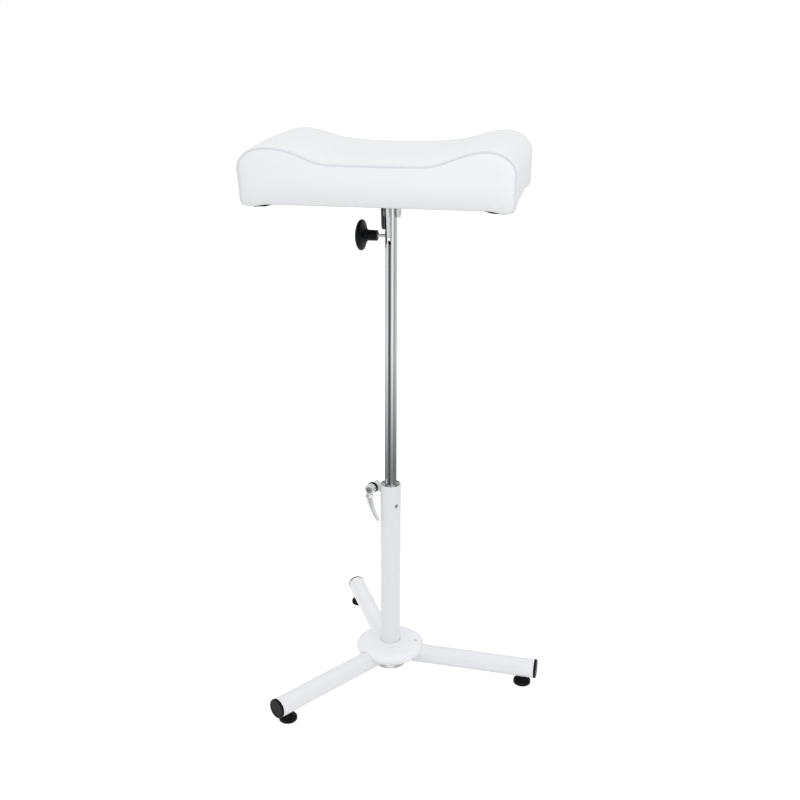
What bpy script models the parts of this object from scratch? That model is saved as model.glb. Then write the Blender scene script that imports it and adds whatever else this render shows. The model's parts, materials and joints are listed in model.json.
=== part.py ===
"""Pedicure footrest: a saddle cushion that tilts on a telescopic column with three legs.

Metres, +Z up. The column stands on the axis of the root empty, the cushion's long side runs
along X and its front faces -Y. The root empty carries the origin to the middle of the floor box.
"""

from math import atan2, cos, hypot, pi, radians, sin, sqrt

import bmesh
import bpy
from mathutils import Matrix, Vector

# Fits
GAP = 0.0003            # clearance left between touching pieces
SLIDE_GAP = 0.0003      # clearance of sliding fits, on the radius

# Column and base
COLUMN_R = 0.0175
COLUMN_WALL = 0.0018
COLUMN_FOOT_Z = 0.0238
COLUMN_TOP_Z = 0.3505
LEG_R = 0.0162
LEG_WALL = 0.0018
LEG_REACH = 0.2645      # column axis to the outer face of a leg cap
LEG_ROOT = 0.0281       # column axis to the inner end of a leg
LEG_ANGLES = (0.0, 120.0, 240.0)
CAP_FLANGE = 0.0042
CAP_LIP = 0.0002        # how far the cap's flange stands proud of the leg
CAP_PLUG = 0.014
FOOT_INSET = 0.0248     # outer face of a leg cap to the foot's axis
FOOT_R = 0.0150
FOOT_PAD = 0.0072
FOOT_NECK = 0.0071      # top of the foot's pad to the underside of the leg
FOOT_PIN_R = 0.0040
FOOT_PIN_TOP = 0.0115   # how far the pin runs past the leg's outer face
HUB_R = 0.0605
HUB_RIM_R = 0.0080
HUB_ROOF = 0.0013       # wall of the hub's rim over a leg
HUB_RISE = 0.0033       # rim up to the hub's top
HUB_FLOOR_R = 0.0290
HUB_FLOOR_Z = 0.0190
WASHER_T = 0.0126
BOLT_R = 0.0050
BOLT_HEAD_R = 0.0095
BOLT_HEAD_T = 0.0030
PLUG_T = 0.015
SET_SCREW_R = 0.0026
SET_SCREW_REACH = 0.0454
SET_SCREW_ANGLE = 12.5
LEG_Z = FOOT_PAD + FOOT_NECK + LEG_R    # heights that follow from the sizes above
HUB_RIM_Z = LEG_Z + LEG_R + HUB_ROOF - HUB_RIM_R
HUB_TOP_Z = HUB_RIM_Z + HUB_RIM_R + HUB_RISE

# Mast
MAST_R = 0.0100
MAST_WALL = 0.0020
GLIDE_L = 0.020
BUSH_L = 0.0495
BUSH_LIP_T = 0.0016
BUSH_LIP_R = 0.0166
GROOVE_W = 0.0040
GROOVE_D = 0.0012
KEY_SIDE_GAP = 0.0003
BUSH_SCREW_Z = COLUMN_TOP_Z - 0.0358
BUSH_SCREW_ANGLE = -40.0
BUSH_SCREW_R = 0.0030

# Pinch clamp and its lever
CLAMP_Z = COLUMN_TOP_Z - 0.0090
CLAMP_ANGLE = 260.0     # heading of the clamp axis
CLAMP_OFFSET = 0.0305   # column axis to the clamp axis, to the left of that heading
CLAMP_ROD_R = 0.0040
SLIT_W = 0.0016
SLIT_L = 0.0340
LUG_R = 0.0066
LUG_T = 0.0050
NUT_R = 0.0070
NUT_T = 0.0050
COLLAR_R = 0.0096
COLLAR_T = 0.0054
LEVER_T = 0.0107
LEVER_HUB_R = 0.0088
LEVER_ARM = 0.0545      # hub axis down to the lever's end
LEVER_SWEEP = 0.0155    # how far the end stands to the side
LEVER_LIFT = 0.0030     # how far the lever pulls out to be set at another angle
STUD_HEAD_R = 0.0062
LEVER_WEB = 0.0014
LEVER_SCREW_R = 0.0025
LEVER_SCREW_HEAD_R = 0.0043
LEVER_SCREW_HEAD_T = 0.0013
SPRING_T = 0.0007
LUG_END = SLIT_W / 2 + LUG_T        # places along the clamp axis, from the slit's middle
COLLAR_END = LUG_END + GAP + COLLAR_T
LEVER_END = COLLAR_END + GAP + LEVER_T

# Tilt head and knob
PIVOT_Z = 0.8125
SEAT_TILT = 7.4         # tilt of the seat as photographed, front edge down
PIN_R = 0.0040
EAR_T = 0.0030
EAR_R = 0.0090
EAR_INNER = 0.0115
LEFT_EAR_DROP = 0.0285  # pin axis to the end of the longer, left ear
MAST_ABOVE_PIN = 0.0120
LOCK_T = 0.0050
LOCK_HALF_W = 0.0220
LOCK_CORNER_R = 0.0120
LOCK_DROP = 0.0455      # pin axis to the lower edge of the lock plate
SLOT_SIDE_GAP = 0.0005
KNOB_DROP = 0.0380      # pin axis to the knob's screw axis
KNOB_R = 0.0250
KNOB_NECK_R = 0.0086
KNOB_NECK_AT = 0.0226   # column axis to the inner end of the knob's neck
KNOB_LEN = 0.0354
STUD_R = 0.0030
STUD_BITE = 0.0120      # length of the stud inside the knob
LOCK_NUT_R = 0.0055
LOCK_NUT_T = 0.0042
TILT_WASHER_R = 0.0080

# Seat
SEAT_BOTTOM = 0.0275    # pin axis to the underside of the cushion
PLATE_X = 0.0450
PLATE_Y = 0.0350
PLATE_T = 0.0030
SCREW_X = 0.0350
SCREW_Y = 0.0240
SCREW_R = 0.0021
SCREW_L = 0.0100
SCREW_HEAD_R = 0.0042
SCREW_HEAD_T = 0.0024
CLOTH_T = 0.0008
BOARD_T = 0.0120
COVER_T = 0.0013
RETURN_W = 0.0200       # width of the cover turned in under the board
FOAM_GAP = 0.0012
PIPING_R = 0.0015
PIPING_NOTCH = 0.0027
SEAT_DEPTH = 0.1920     # seam to seam
FACE_BULGE = 0.0070
SEAM_ROLL = 0.0060      # rise of the top next to each seam, in the valley
LOBE_EASE = 0.65        # share of that rise lost on the lobes
SEAM_ROLL_W = 0.0110
TOP_CROWN = 0.0010      # further rise to the middle
SEAT_HALF_BOTTOM = 0.2100
SEAT_CORNER = 0.0130
SEAT_HALF_WIDTH = 0.2125
LOBE_X = 0.1690
LOBE_H = 0.0865         # height of the lobes above the cushion's underside
VALLEY_H = 0.0630
VALLEY_HALF = 0.0720
SHOULDER_R = 0.0330

# Facets
ROUND = 28
SMALL = 16


def material(name, colour, roughness, metallic):
    """One Principled material."""
    mat = bpy.data.materials.new(name)
    mat.use_nodes = True
    shader = mat.node_tree.nodes["Principled BSDF"]
    shader.inputs["Base Color"].default_value = (*colour, 1.0)
    shader.inputs["Roughness"].default_value = roughness
    shader.inputs["Metallic"].default_value = metallic
    mat.diffuse_color = (*colour, 1.0)
    return mat


def empty(name, parent=None, location=(0, 0, 0), rotation=(0, 0, 0)):
    """A placing frame."""
    frame = bpy.data.objects.new(name, None)
    bpy.context.scene.collection.objects.link(frame)
    frame.parent = parent
    frame.location = location
    frame.rotation_euler = rotation
    return frame


def make(name, bm, look, parent=None, location=(0, 0, 0), rotation=(0, 0, 0), sharp=35.0):
    """Turn a bmesh into a named, smooth-shaded object with its own material."""
    bmesh.ops.recalc_face_normals(bm, faces=bm.faces)
    mesh = bpy.data.meshes.new(name)
    bm.to_mesh(mesh)
    bm.free()
    if look:
        mesh.materials.append(material(name, *look))
    obj = bpy.data.objects.new(name, mesh)
    bpy.context.scene.collection.objects.link(obj)
    obj.parent = parent
    obj.location = location
    obj.rotation_euler = rotation
    mesh.shade_smooth()
    mesh.set_sharp_from_angle(angle=radians(sharp))
    return obj


def turned(profile, steps=ROUND):
    """Spin a closed (radius, height) outline round Z."""
    bm = bmesh.new()
    verts = [bm.verts.new((max(r, 0.0), 0.0, z)) for r, z in profile]
    edges = [bm.edges.new((a, b)) for a, b in zip(verts, verts[1:] + verts[:1])
             if a.co.x > 1e-9 or b.co.x > 1e-9]
    bmesh.ops.spin(bm, geom=verts + edges, cent=(0, 0, 0), axis=(0, 0, 1),
                   angle=2 * pi, steps=steps, use_merge=True)
    bmesh.ops.remove_doubles(bm, verts=bm.verts, dist=1e-7)
    bmesh.ops.dissolve_degenerate(bm, edges=bm.edges, dist=1e-8)
    return bm


def rod(radius, low, high, steps=SMALL, chamfer=0.0):
    """A solid round bar along Z, with chamfered ends when asked."""
    if chamfer:
        outline = [(0, low), (radius - chamfer, low), (radius, low + chamfer),
                   (radius, high - chamfer), (radius - chamfer, high), (0, high)]
    else:
        outline = [(0, low), (radius, low), (radius, high), (0, high)]
    return turned(outline, steps)


def ring(inner, outer, low, high, steps=ROUND, chamfer=0.0):
    """A tube or washer along Z."""
    if chamfer:
        outline = [(inner, low), (outer - chamfer, low), (outer, low + chamfer),
                   (outer, high - chamfer), (outer - chamfer, high), (inner, high)]
    else:
        outline = [(inner, low), (outer, low), (outer, high), (inner, high)]
    return turned(outline, steps)


def prism(outline, low, high, axis="Z"):
    """Extrude a closed 2D outline along an axis; X prisms take (y, z), Y prisms take (x, z)."""
    bm = bmesh.new()
    place = {"Z": lambda a, b, h: (a, b, h), "X": lambda a, b, h: (h, a, b),
             "Y": lambda a, b, h: (a, h, b)}[axis]
    face = bm.faces.new([bm.verts.new(place(a, b, low)) for a, b in outline])
    result = bmesh.ops.extrude_face_region(bm, geom=[face])
    moved = [item for item in result["geom"] if isinstance(item, bmesh.types.BMVert)]
    bmesh.ops.translate(bm, verts=moved, vec=Vector(place(0, 0, high - low)))
    return bm


def block(low, high):
    """A plain box between two corners."""
    bm = bmesh.new()
    size = Vector(high) - Vector(low)
    middle = (Vector(high) + Vector(low)) / 2
    bmesh.ops.create_cube(bm, size=1.0, matrix=Matrix.Translation(middle) @ Matrix.Diagonal((*size, 1)))
    return bm


def arc(cx, cy, radius, start, end, count):
    """Points on an arc, angles in degrees, both ends included."""
    turns = [radians(start + (end - start) * i / (count - 1)) for i in range(count)]
    return [(cx + radius * cos(t), cy + radius * sin(t)) for t in turns]


def bake(obj, modifier):
    """Replace the mesh by its modified one."""
    graph = bpy.context.evaluated_depsgraph_get()
    mesh = bpy.data.meshes.new_from_object(obj.evaluated_get(graph))
    old = obj.data
    obj.modifiers.remove(modifier)
    obj.data = mesh
    mesh.name = old.name
    bpy.data.meshes.remove(old)


def combine(obj, bm, operation, location=(0, 0, 0), rotation=(0, 0, 0)):
    """Cut a bmesh out of an object, or join it on; places are in the object's own frame."""
    tool = make(obj.name + "_tool", bm, None)
    spot = Matrix.LocRotScale(location, None, None)
    for angle, axis in zip(rotation, "XYZ"):
        spot = spot @ Matrix.Rotation(angle, 4, axis)
    parent = obj.parent
    obj.parent = None
    tool.matrix_world = obj.matrix_basis @ spot
    bpy.context.view_layer.update()
    step = obj.modifiers.new("boolean", 'BOOLEAN')
    step.operation = operation
    step.solver = 'EXACT'
    step.object = tool
    bpy.context.view_layer.update()
    bake(obj, step)
    obj.parent = parent
    mesh = tool.data
    bpy.data.objects.remove(tool)
    bpy.data.meshes.remove(mesh)
    obj.data.shade_smooth()
    obj.data.set_sharp_from_angle(angle=radians(35.0))


def cut(obj, bm, location=(0, 0, 0), rotation=(0, 0, 0)):
    combine(obj, bm, 'DIFFERENCE', location, rotation)


def join(obj, bm, location=(0, 0, 0), rotation=(0, 0, 0)):
    combine(obj, bm, 'UNION', location, rotation)


# Looks: colour, roughness, metallic
WHITE_PAINT = ((0.86, 0.87, 0.88), 0.35, 0.0)
BLACK_PLASTIC = ((0.015, 0.016, 0.017), 0.45, 0.0)
BLACK_RUBBER = ((0.02, 0.02, 0.02), 0.75, 0.0)
GREY_PLASTIC = ((0.35, 0.36, 0.37), 0.45, 0.0)
CHROME = ((0.80, 0.81, 0.82), 0.08, 1.0)
STEEL = ((0.55, 0.56, 0.57), 0.30, 1.0)
NYLON = ((0.80, 0.79, 0.75), 0.50, 0.0)
PLYWOOD = ((0.62, 0.45, 0.27), 0.65, 0.0)
BLACK_CLOTH = ((0.025, 0.025, 0.028), 0.90, 0.0)
FOAM = ((0.88, 0.83, 0.62), 0.95, 0.0)
LEATHERETTE = ((0.88, 0.89, 0.91), 0.45, 0.0)
PIPING = ((0.78, 0.78, 0.82), 0.50, 0.0)


def build_hub(root):
    """Hub with its leg sockets, and what fixes the column in it."""
    rim_x = HUB_R - HUB_RIM_R
    bore = COLUMN_R + GAP
    floor = COLUMN_FOOT_Z - GAP
    bowl = HUB_RIM_Z - HUB_RIM_R - HUB_FLOOR_Z
    outline = [(BOLT_R + GAP, HUB_FLOOR_Z), (HUB_FLOOR_R, HUB_FLOOR_Z)]
    outline += [(HUB_FLOOR_R + (rim_x - HUB_FLOOR_R) * out, HUB_FLOOR_Z + bowl * rise)
                for out, rise in ((0.52, 0.30), (0.92, 0.68))]
    outline += arc(rim_x, HUB_RIM_Z, HUB_RIM_R, -60, 82, 8)
    outline += [(HUB_R * 0.66, HUB_RIM_Z + HUB_RIM_R + 0.0012), (HUB_R * 0.45, HUB_TOP_Z - 0.0010),
                (bore + 0.0045, HUB_TOP_Z - 0.0002), (bore + 0.0012, HUB_TOP_Z + 0.0006),
                (bore, HUB_TOP_Z + 0.0004), (bore, floor), (BOLT_R + GAP, floor)]
    hub = make("hub", turned(outline, 40), WHITE_PAINT, root)
    for angle in LEG_ANGLES:
        cut(hub, rod_along(radians(angle), LEG_R + GAP, LEG_ROOT - GAP, HUB_R + 0.02))
    turn = radians(SET_SCREW_ANGLE)
    spot = (SET_SCREW_REACH * cos(turn), SET_SCREW_REACH * sin(turn), 0)
    seat = LEG_Z + sqrt((LEG_R + GAP) ** 2 - (spot[1] - SET_SCREW_R - GAP) ** 2) + GAP
    rim_top = HUB_RIM_Z + HUB_RIM_R
    cut(hub, rod(SET_SCREW_R + GAP, seat, HUB_TOP_Z + 0.01, 16), spot)
    make("hub_set_screw", set_screw(SET_SCREW_R, rim_top + 0.0008 - seat), STEEL, root,
         (spot[0], spot[1], seat + GAP))
    top = HUB_FLOOR_Z - GAP
    make("hub_washer", ring(BOLT_R + GAP, LEG_ROOT - 2 * GAP, top - WASHER_T, top, ROUND, 0.0006), STEEL, root)
    head = top - WASHER_T - GAP
    outline = [(0, head - BOLT_HEAD_T), (BOLT_HEAD_R * 0.7, head - BOLT_HEAD_T * 0.85),
               (BOLT_HEAD_R, head - BOLT_HEAD_T * 0.3), (BOLT_HEAD_R, head), (BOLT_R, head),
               (BOLT_R, COLUMN_FOOT_Z + PLUG_T * 0.8), (0, COLUMN_FOOT_Z + PLUG_T * 0.8)]
    make("hub_bolt", turned(outline, SMALL), STEEL, root)
    plug = ring(BOLT_R + GAP, COLUMN_R - COLUMN_WALL - GAP, COLUMN_FOOT_Z, COLUMN_FOOT_Z + PLUG_T)
    make("column_plug", plug, STEEL, root)


def rod_along(turn, radius, low, high, height=LEG_Z, steps=ROUND):
    """A round bar lying at a height, running outward from the column axis."""
    bm = rod(radius, low, high, steps)
    bm.transform(Matrix.Translation((0, 0, height)) @ Matrix.Rotation(turn, 4, 'Z')
                 @ Matrix.Rotation(pi / 2, 4, 'Y'))
    return bm


def set_screw(radius, length):
    """A headless screw with a hexagon socket, standing on its own zero."""
    bm = rod(radius, 0.0, length, 18, radius * 0.12)
    top = [v for v in bm.verts if v.co.z > length - 1e-6 and hypot(v.co.x, v.co.y) < 1e-9]
    for vert in top:
        vert.co.z = length * 0.55
    return bm


def build_legs(root):
    """Three tubes with end caps, feet and the pins that hold the feet."""
    names = ("right", "rear", "front")
    pin_hole = FOOT_PIN_R + GAP
    foot_reach = LEG_REACH - FOOT_INSET
    for name, angle in zip(names, LEG_ANGLES):
        turn = radians(angle)
        frame = empty("leg_" + name + "_frame", root, (0, 0, LEG_Z), (0, pi / 2, turn))
        end = LEG_REACH - CAP_FLANGE - GAP
        leg = make("leg_" + name, ring(LEG_R - LEG_WALL, LEG_R, LEG_ROOT, end), WHITE_PAINT, frame)
        cut(leg, rod(pin_hole, 0.0, LEG_R * 2, SMALL), (0, 0, foot_reach), (0, pi / 2, 0))
        inner = LEG_R - LEG_WALL - GAP
        edge = LEG_R + CAP_LIP
        plug = LEG_REACH - CAP_FLANGE - CAP_PLUG
        outline = [(0, plug), (inner - 0.001, plug), (inner, plug + 0.001), (inner, LEG_REACH - CAP_FLANGE),
                   (edge - 0.0004, LEG_REACH - CAP_FLANGE), (edge, LEG_REACH - CAP_FLANGE + 0.0005),
                   (edge, LEG_REACH - 0.0012), (edge - 0.0006, LEG_REACH - 0.0003),
                   (edge - 0.0014, LEG_REACH), (edge - 0.0028, LEG_REACH), (edge - 0.0034, LEG_REACH - 0.0006),
                   (0, LEG_REACH - 0.0006)]
        make("leg_cap_" + name, turned(outline), BLACK_PLASTIC, frame)
        spot = (foot_reach * cos(turn), foot_reach * sin(turn), 0)
        under = LEG_Z - LEG_R - GAP
        neck = FOOT_PIN_R + GAP + 0.0035
        outline = [(0, 0), (FOOT_R - 0.001, 0), (FOOT_R, 0.001), (FOOT_R, FOOT_PAD - 0.0016),
                   (FOOT_R - 0.0012, FOOT_PAD), (neck + 0.002, FOOT_PAD + 0.0016), (neck, FOOT_PAD + 0.003),
                   (neck, under - 0.0019), (pin_hole, under - 0.0019), (pin_hole, FOOT_PAD * 0.6),
                   (0, FOOT_PAD * 0.6)]
        make("foot_" + name, turned(outline), BLACK_RUBBER, root, spot)
        pin = rod(FOOT_PIN_R, FOOT_PAD * 0.6 + GAP, under + GAP + FOOT_PIN_TOP, SMALL, 0.0006)
        make("foot_pin_" + name, pin, STEEL, root, spot)


def build_column(root):
    """Column tube, guide bush with its key, bush screw, and the lugs either side of the clamp's slit."""
    column = make("column_tube", ring(COLUMN_R - COLUMN_WALL, COLUMN_R, COLUMN_FOOT_Z, COLUMN_TOP_Z, 40),
                  WHITE_PAINT, root)
    cut(column, slit(COLUMN_TOP_Z - SLIT_L))
    screw_turn = radians(BUSH_SCREW_ANGLE)
    cut(column, rod_along(screw_turn, BUSH_SCREW_R + GAP, COLUMN_R * 0.5, COLUMN_R * 1.5, BUSH_SCREW_Z, 20))

    low = COLUMN_TOP_Z + GAP - BUSH_L
    outer = COLUMN_R - COLUMN_WALL - GAP
    inner = MAST_R + SLIDE_GAP
    lip = COLUMN_TOP_Z + GAP
    outline = [(inner, low), (outer, low), (outer, lip), (BUSH_LIP_R - 0.0004, lip),
               (BUSH_LIP_R, lip + 0.0004), (BUSH_LIP_R, lip + BUSH_LIP_T - 0.0005),
               (BUSH_LIP_R - 0.0006, lip + BUSH_LIP_T), (inner + 0.0006, lip + BUSH_LIP_T),
               (inner, lip + BUSH_LIP_T - 0.0005)]
    bush = make("guide_bush", turned(outline), GREY_PLASTIC, root)
    half = GROOVE_W / 2 - KEY_SIDE_GAP
    key_in = MAST_R - GROOVE_D + GAP
    join(bush, block((-half, -inner - 0.001, low + 0.001), (half, -key_in, lip)))
    cut(bush, slit(low - 0.01))
    depth = outer - (outer - inner) * 0.45
    cut(bush, rod_along(screw_turn, BUSH_SCREW_R + GAP, depth - GAP, COLUMN_R * 1.5, BUSH_SCREW_Z, 20))
    make("bush_screw", set_screw(BUSH_SCREW_R, COLUMN_R - 0.0002 - depth), STEEL, root,
         (depth * cos(screw_turn), depth * sin(screw_turn), BUSH_SCREW_Z), (0, pi / 2, screw_turn))

    heading = radians(CLAMP_ANGLE)
    spot = (CLAMP_OFFSET * sin(heading), -CLAMP_OFFSET * cos(heading), CLAMP_Z)
    frame = empty("clamp_frame", root, spot, (0, pi / 2, heading))
    root_y = CLAMP_OFFSET - COLUMN_R * 0.5
    outline = arc(0.0, 0.0, LUG_R, 180, 360, 13) + [(LUG_R, root_y), (-LUG_R, root_y)]
    for name, low, high in (("front", SLIT_W / 2, LUG_END), ("rear", -LUG_END, -SLIT_W / 2)):
        lug = make("clamp_lug_" + name, prism(outline, low, high), WHITE_PAINT, frame)
        cut(lug, rod(CLAMP_ROD_R + GAP, -0.05, 0.05, 24))
        saddle = rod(COLUMN_R + GAP, -0.05, 0.05, 40)
        cut(lug, saddle, (0, CLAMP_OFFSET, 0), (0, pi / 2, 0))
    hexagon = arc(0.0, 0.0, NUT_R, 0, 300, 6)
    nut = make("clamp_nut", prism(hexagon, -LUG_END - GAP - NUT_T, -LUG_END - GAP), STEEL, frame)
    cut(nut, rod(CLAMP_ROD_R + GAP, -0.05, 0.05, 24))
    return frame


def slit(low):
    """A thin block through the left wall of the column's mouth, open at the top."""
    bm = block((MAST_R * 0.5, -SLIT_W / 2, low), (COLUMN_R * 1.5, SLIT_W / 2, COLUMN_TOP_Z + 0.02))
    bm.transform(Matrix.Rotation(radians(CLAMP_ANGLE - 90), 4, 'Z'))
    return bm


def build_clamp(frame):
    """Clamp stud with its collar, and the lever that lifts off its serrations."""
    tip = -LUG_END - GAP - NUT_T - 0.0015
    head_in = COLLAR_END + GAP
    screw_hole = LEVER_SCREW_R + GAP
    head = LEVER_END - 0.0004
    spring = head - LEVER_SCREW_HEAD_T - GAP
    web_out = spring - SPRING_T - GAP - LEVER_LIFT
    web_in = web_out - LEVER_WEB
    stud_end = web_in - GAP
    teeth = 18
    outline = [(0, tip), (CLAMP_ROD_R - 0.0006, tip), (CLAMP_ROD_R, tip + 0.0006), (CLAMP_ROD_R, head_in),
               (STUD_HEAD_R, head_in), (STUD_HEAD_R, stud_end), (screw_hole, stud_end),
               (screw_hole, head_in), (0, head_in)]
    bm = turned(outline, teeth * 2)
    for vert in bm.verts:
        radius = hypot(vert.co.x, vert.co.y)
        step = round(atan2(vert.co.y, vert.co.x) / (pi / teeth))
        if radius > STUD_HEAD_R - 1e-6 and step % 2:
            vert.co.xy *= 1 - 0.0006 / STUD_HEAD_R
    make("clamp_stud", bm, STEEL, frame, sharp=20.0)
    collar = ring(CLAMP_ROD_R + GAP, COLLAR_R, LUG_END + GAP, COLLAR_END, 24, 0.0007)
    make("clamp_collar", collar, BLACK_PLASTIC, frame)

    bore = STUD_HEAD_R + GAP
    well = LEVER_SCREW_HEAD_R + GAP
    outline = [(bore, head_in), (LEVER_HUB_R - 0.0008, head_in), (LEVER_HUB_R, head_in + 0.0008),
               (LEVER_HUB_R, LEVER_END - 0.0022), (LEVER_HUB_R - 0.0007, LEVER_END - 0.0008),
               (LEVER_HUB_R - 0.0022, LEVER_END), (well, LEVER_END), (well, web_out),
               (screw_hole, web_out), (screw_hole, web_in), (bore, web_in)]
    lever = make("clamp_lever", turned(outline), CHROME, frame)
    join(lever, lever_arm())
    outline = [(0, head_in + GAP), (LEVER_SCREW_R, head_in + GAP), (LEVER_SCREW_R, head - LEVER_SCREW_HEAD_T),
               (LEVER_SCREW_HEAD_R, head - LEVER_SCREW_HEAD_T), (LEVER_SCREW_HEAD_R, head - 0.0004),
               (LEVER_SCREW_HEAD_R - 0.0006, head), (0.0013, head), (0.0010, head - 0.0007), (0, head - 0.0007)]
    make("lever_screw", turned(outline, SMALL), STEEL, frame)
    coil = ring(LEVER_SCREW_R + GAP, LEVER_SCREW_HEAD_R - 0.0002, spring - SPRING_T, spring, SMALL)
    make("lever_spring", coil, STEEL, frame)


def lever_arm():
    """A bar that hangs from the lever's hub, narrows, and sweeps to the side."""
    low = COLLAR_END + GAP
    thick = LEVER_END - low
    stations = (
        # share of the drop, share of the sweep, half width, half thickness, place along the clamp axis
        (0.15, -0.05, 0.0066, thick * 0.42, 0.50),
        (0.27, -0.16, 0.0065, 0.0041, 0.54),
        (0.47, 0.04, 0.0054, 0.0037, 0.58),
        (0.62, 0.25, 0.0046, 0.0034, 0.62),
        (0.77, 0.53, 0.0041, 0.0032, 0.66),
        (0.92, 0.85, 0.0038, 0.0031, 0.70),
        (0.99, 0.99, 0.0034, 0.0028, 0.72),
        (1.01, 1.03, 0.0020, 0.0016, 0.73),
    )
    places = [Vector((LEVER_ARM * drop, LEVER_SWEEP * side, 0)) for drop, side, _w, _t, _z in stations]
    sides = 14
    bm = bmesh.new()
    loops = []
    for step, (_drop, _side, half_w, half_t, share) in enumerate(stations):
        ahead = places[min(step + 1, len(places) - 1)] - places[max(step - 1, 0)]
        across = Vector((-ahead.y, ahead.x, 0)).normalized()
        middle = places[step] + Vector((0, 0, low + thick * share))
        loop = []
        for i in range(sides):
            a = 2 * pi * i / sides
            loop.append(bm.verts.new(middle + across * (half_w * cos(a)) + Vector((0, 0, half_t * sin(a)))))
        loops.append(loop)
    for a, b in zip(loops, loops[1:]):
        for i in range(sides):
            j = (i + 1) % sides
            bm.faces.new((a[i], a[j], b[j], b[i]))
    bm.faces.new(loops[0])
    bm.faces.new(loops[-1])
    bmesh.ops.recalc_face_normals(bm, faces=bm.faces)
    return bm


def build_mast(root):
    """Chrome mast with its front groove and slotted top, glide ring, lock nut and tilt washers."""
    glide_low = COLUMN_TOP_Z + GAP - BUSH_L - GAP - GLIDE_L
    top = PIVOT_Z + MAST_ABOVE_PIN
    knob_z = PIVOT_Z - KNOB_DROP
    mast = make("mast_tube", ring(MAST_R - MAST_WALL, MAST_R, glide_low, top, 40), CHROME, root)
    half = LOCK_T / 2 + SLOT_SIDE_GAP
    swing = hypot(LOCK_HALF_W - LOCK_CORNER_R, LOCK_DROP - LOCK_CORNER_R) + LOCK_CORNER_R
    slot_low = PIVOT_Z - swing - 0.001 - half
    slot = [(-half, top + 0.01)]
    slot += arc(0.0, slot_low + half, half, 180, 360, 9)
    slot += [(half, top + 0.01)]
    cut(mast, prism(slot, -0.05, 0.05, "Y"))
    groove_low = COLUMN_TOP_Z + GAP - BUSH_L - GAP
    width = GROOVE_W / 2
    groove = [(-width, slot_low + half)]
    groove += arc(0.0, groove_low + width, width, 180, 360, 9)
    groove += [(width, slot_low + half)]
    cut(mast, prism(groove, -MAST_R - 0.01, -MAST_R + GROOVE_D, "Y"))
    cut(mast, rod(PIN_R + GAP, -0.05, 0.05, 24), (0, 0, PIVOT_Z), (0, pi / 2, 0))
    cut(mast, rod(STUD_R + GAP, 0.0, 0.05, SMALL), (0, 0, knob_z), (0, -pi / 2, 0))
    glide = ring(MAST_R + GAP, COLUMN_R - COLUMN_WALL - SLIDE_GAP, glide_low, glide_low + GLIDE_L, ROUND, 0.001)
    make("mast_glide", glide, NYLON, root)
    nut_out = sqrt((MAST_R - MAST_WALL - GAP) ** 2 - LOCK_NUT_R ** 2)
    nut_in = LOCK_T / 2 + GAP + 0.0004
    nut = ring(STUD_R + GAP, LOCK_NUT_R, nut_in, min(nut_out, nut_in + LOCK_NUT_T), SMALL)
    make("lock_nut", nut, STEEL, root, (0, 0, knob_z), (0, -pi / 2, 0))
    for name, side in (("left", -1), ("right", 1)):
        washer = ring(PIN_R + GAP, TILT_WASHER_R, MAST_R + GAP, EAR_INNER - GAP, 20)
        make("tilt_washer_" + name, washer, NYLON, root, (0, 0, PIVOT_Z), (0, side * pi / 2, 0))


def build_knob(root):
    """Lock knob and its stud, on the axis that points left."""
    frame = empty("knob_frame", root, (0, 0, PIVOT_Z - KNOB_DROP), (0, -pi / 2, 0))
    start = KNOB_NECK_AT
    hole = STUD_R + GAP
    bottom = start + STUD_BITE
    outline = [(hole, start), (KNOB_NECK_R - 0.0005, start), (KNOB_NECK_R, start + 0.0005)]
    shape = ((0.44, 0.35), (0.50, 0.42), (0.56, 0.58), (0.62, 0.80), (0.66, 0.94), (0.70, 0.99), (0.75, 1.0),
             (0.81, 0.975), (0.87, 0.88), (0.93, 0.68), (0.975, 0.40))
    outline += [(KNOB_R * width, start + KNOB_LEN * share) for share, width in shape]
    outline += [(0, start + KNOB_LEN), (0, bottom), (hole, bottom)]
    make("lock_knob", turned(outline, 32), BLACK_PLASTIC, frame)
    stud = rod(STUD_R, LOCK_T / 2 + GAP, bottom - GAP, SMALL, 0.0005)
    make("lock_stud", stud, STEEL, frame)


def seat_height(x):
    """Height of the cushion's top seam above its underside."""
    a = abs(x)
    if a <= VALLEY_HALF:
        return VALLEY_H
    share = min((a - VALLEY_HALF) / (LOBE_X - VALLEY_HALF), 1.0)
    return VALLEY_H + (LOBE_H - VALLEY_H) * (1 - cos(pi * share)) / 2


def seat_outline():
    """Half of the cushion's front outline from the middle of the top round to the bottom corner."""
    points = [(LOBE_X * i / 11, seat_height(LOBE_X * i / 11)) for i in range(12)]
    side_z = LOBE_H - SHOULDER_R
    width = SEAT_HALF_WIDTH - LOBE_X
    points += [(LOBE_X + width * sin(t), side_z + SHOULDER_R * cos(t))
               for t in (pi / 2 * i / 6 for i in range(1, 7))]
    lean = SEAT_HALF_WIDTH - SEAT_HALF_BOTTOM
    for share in (0.34, 0.68, 1.0):
        points.append((SEAT_HALF_WIDTH - lean * share ** 1.5, side_z + (SEAT_CORNER - side_z) * share))
    points += [(SEAT_HALF_BOTTOM - SEAT_CORNER * (1 - cos(t)), SEAT_CORNER * (1 - sin(t)))
               for t in (pi / 6, pi / 3, pi / 2)]
    return points


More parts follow.
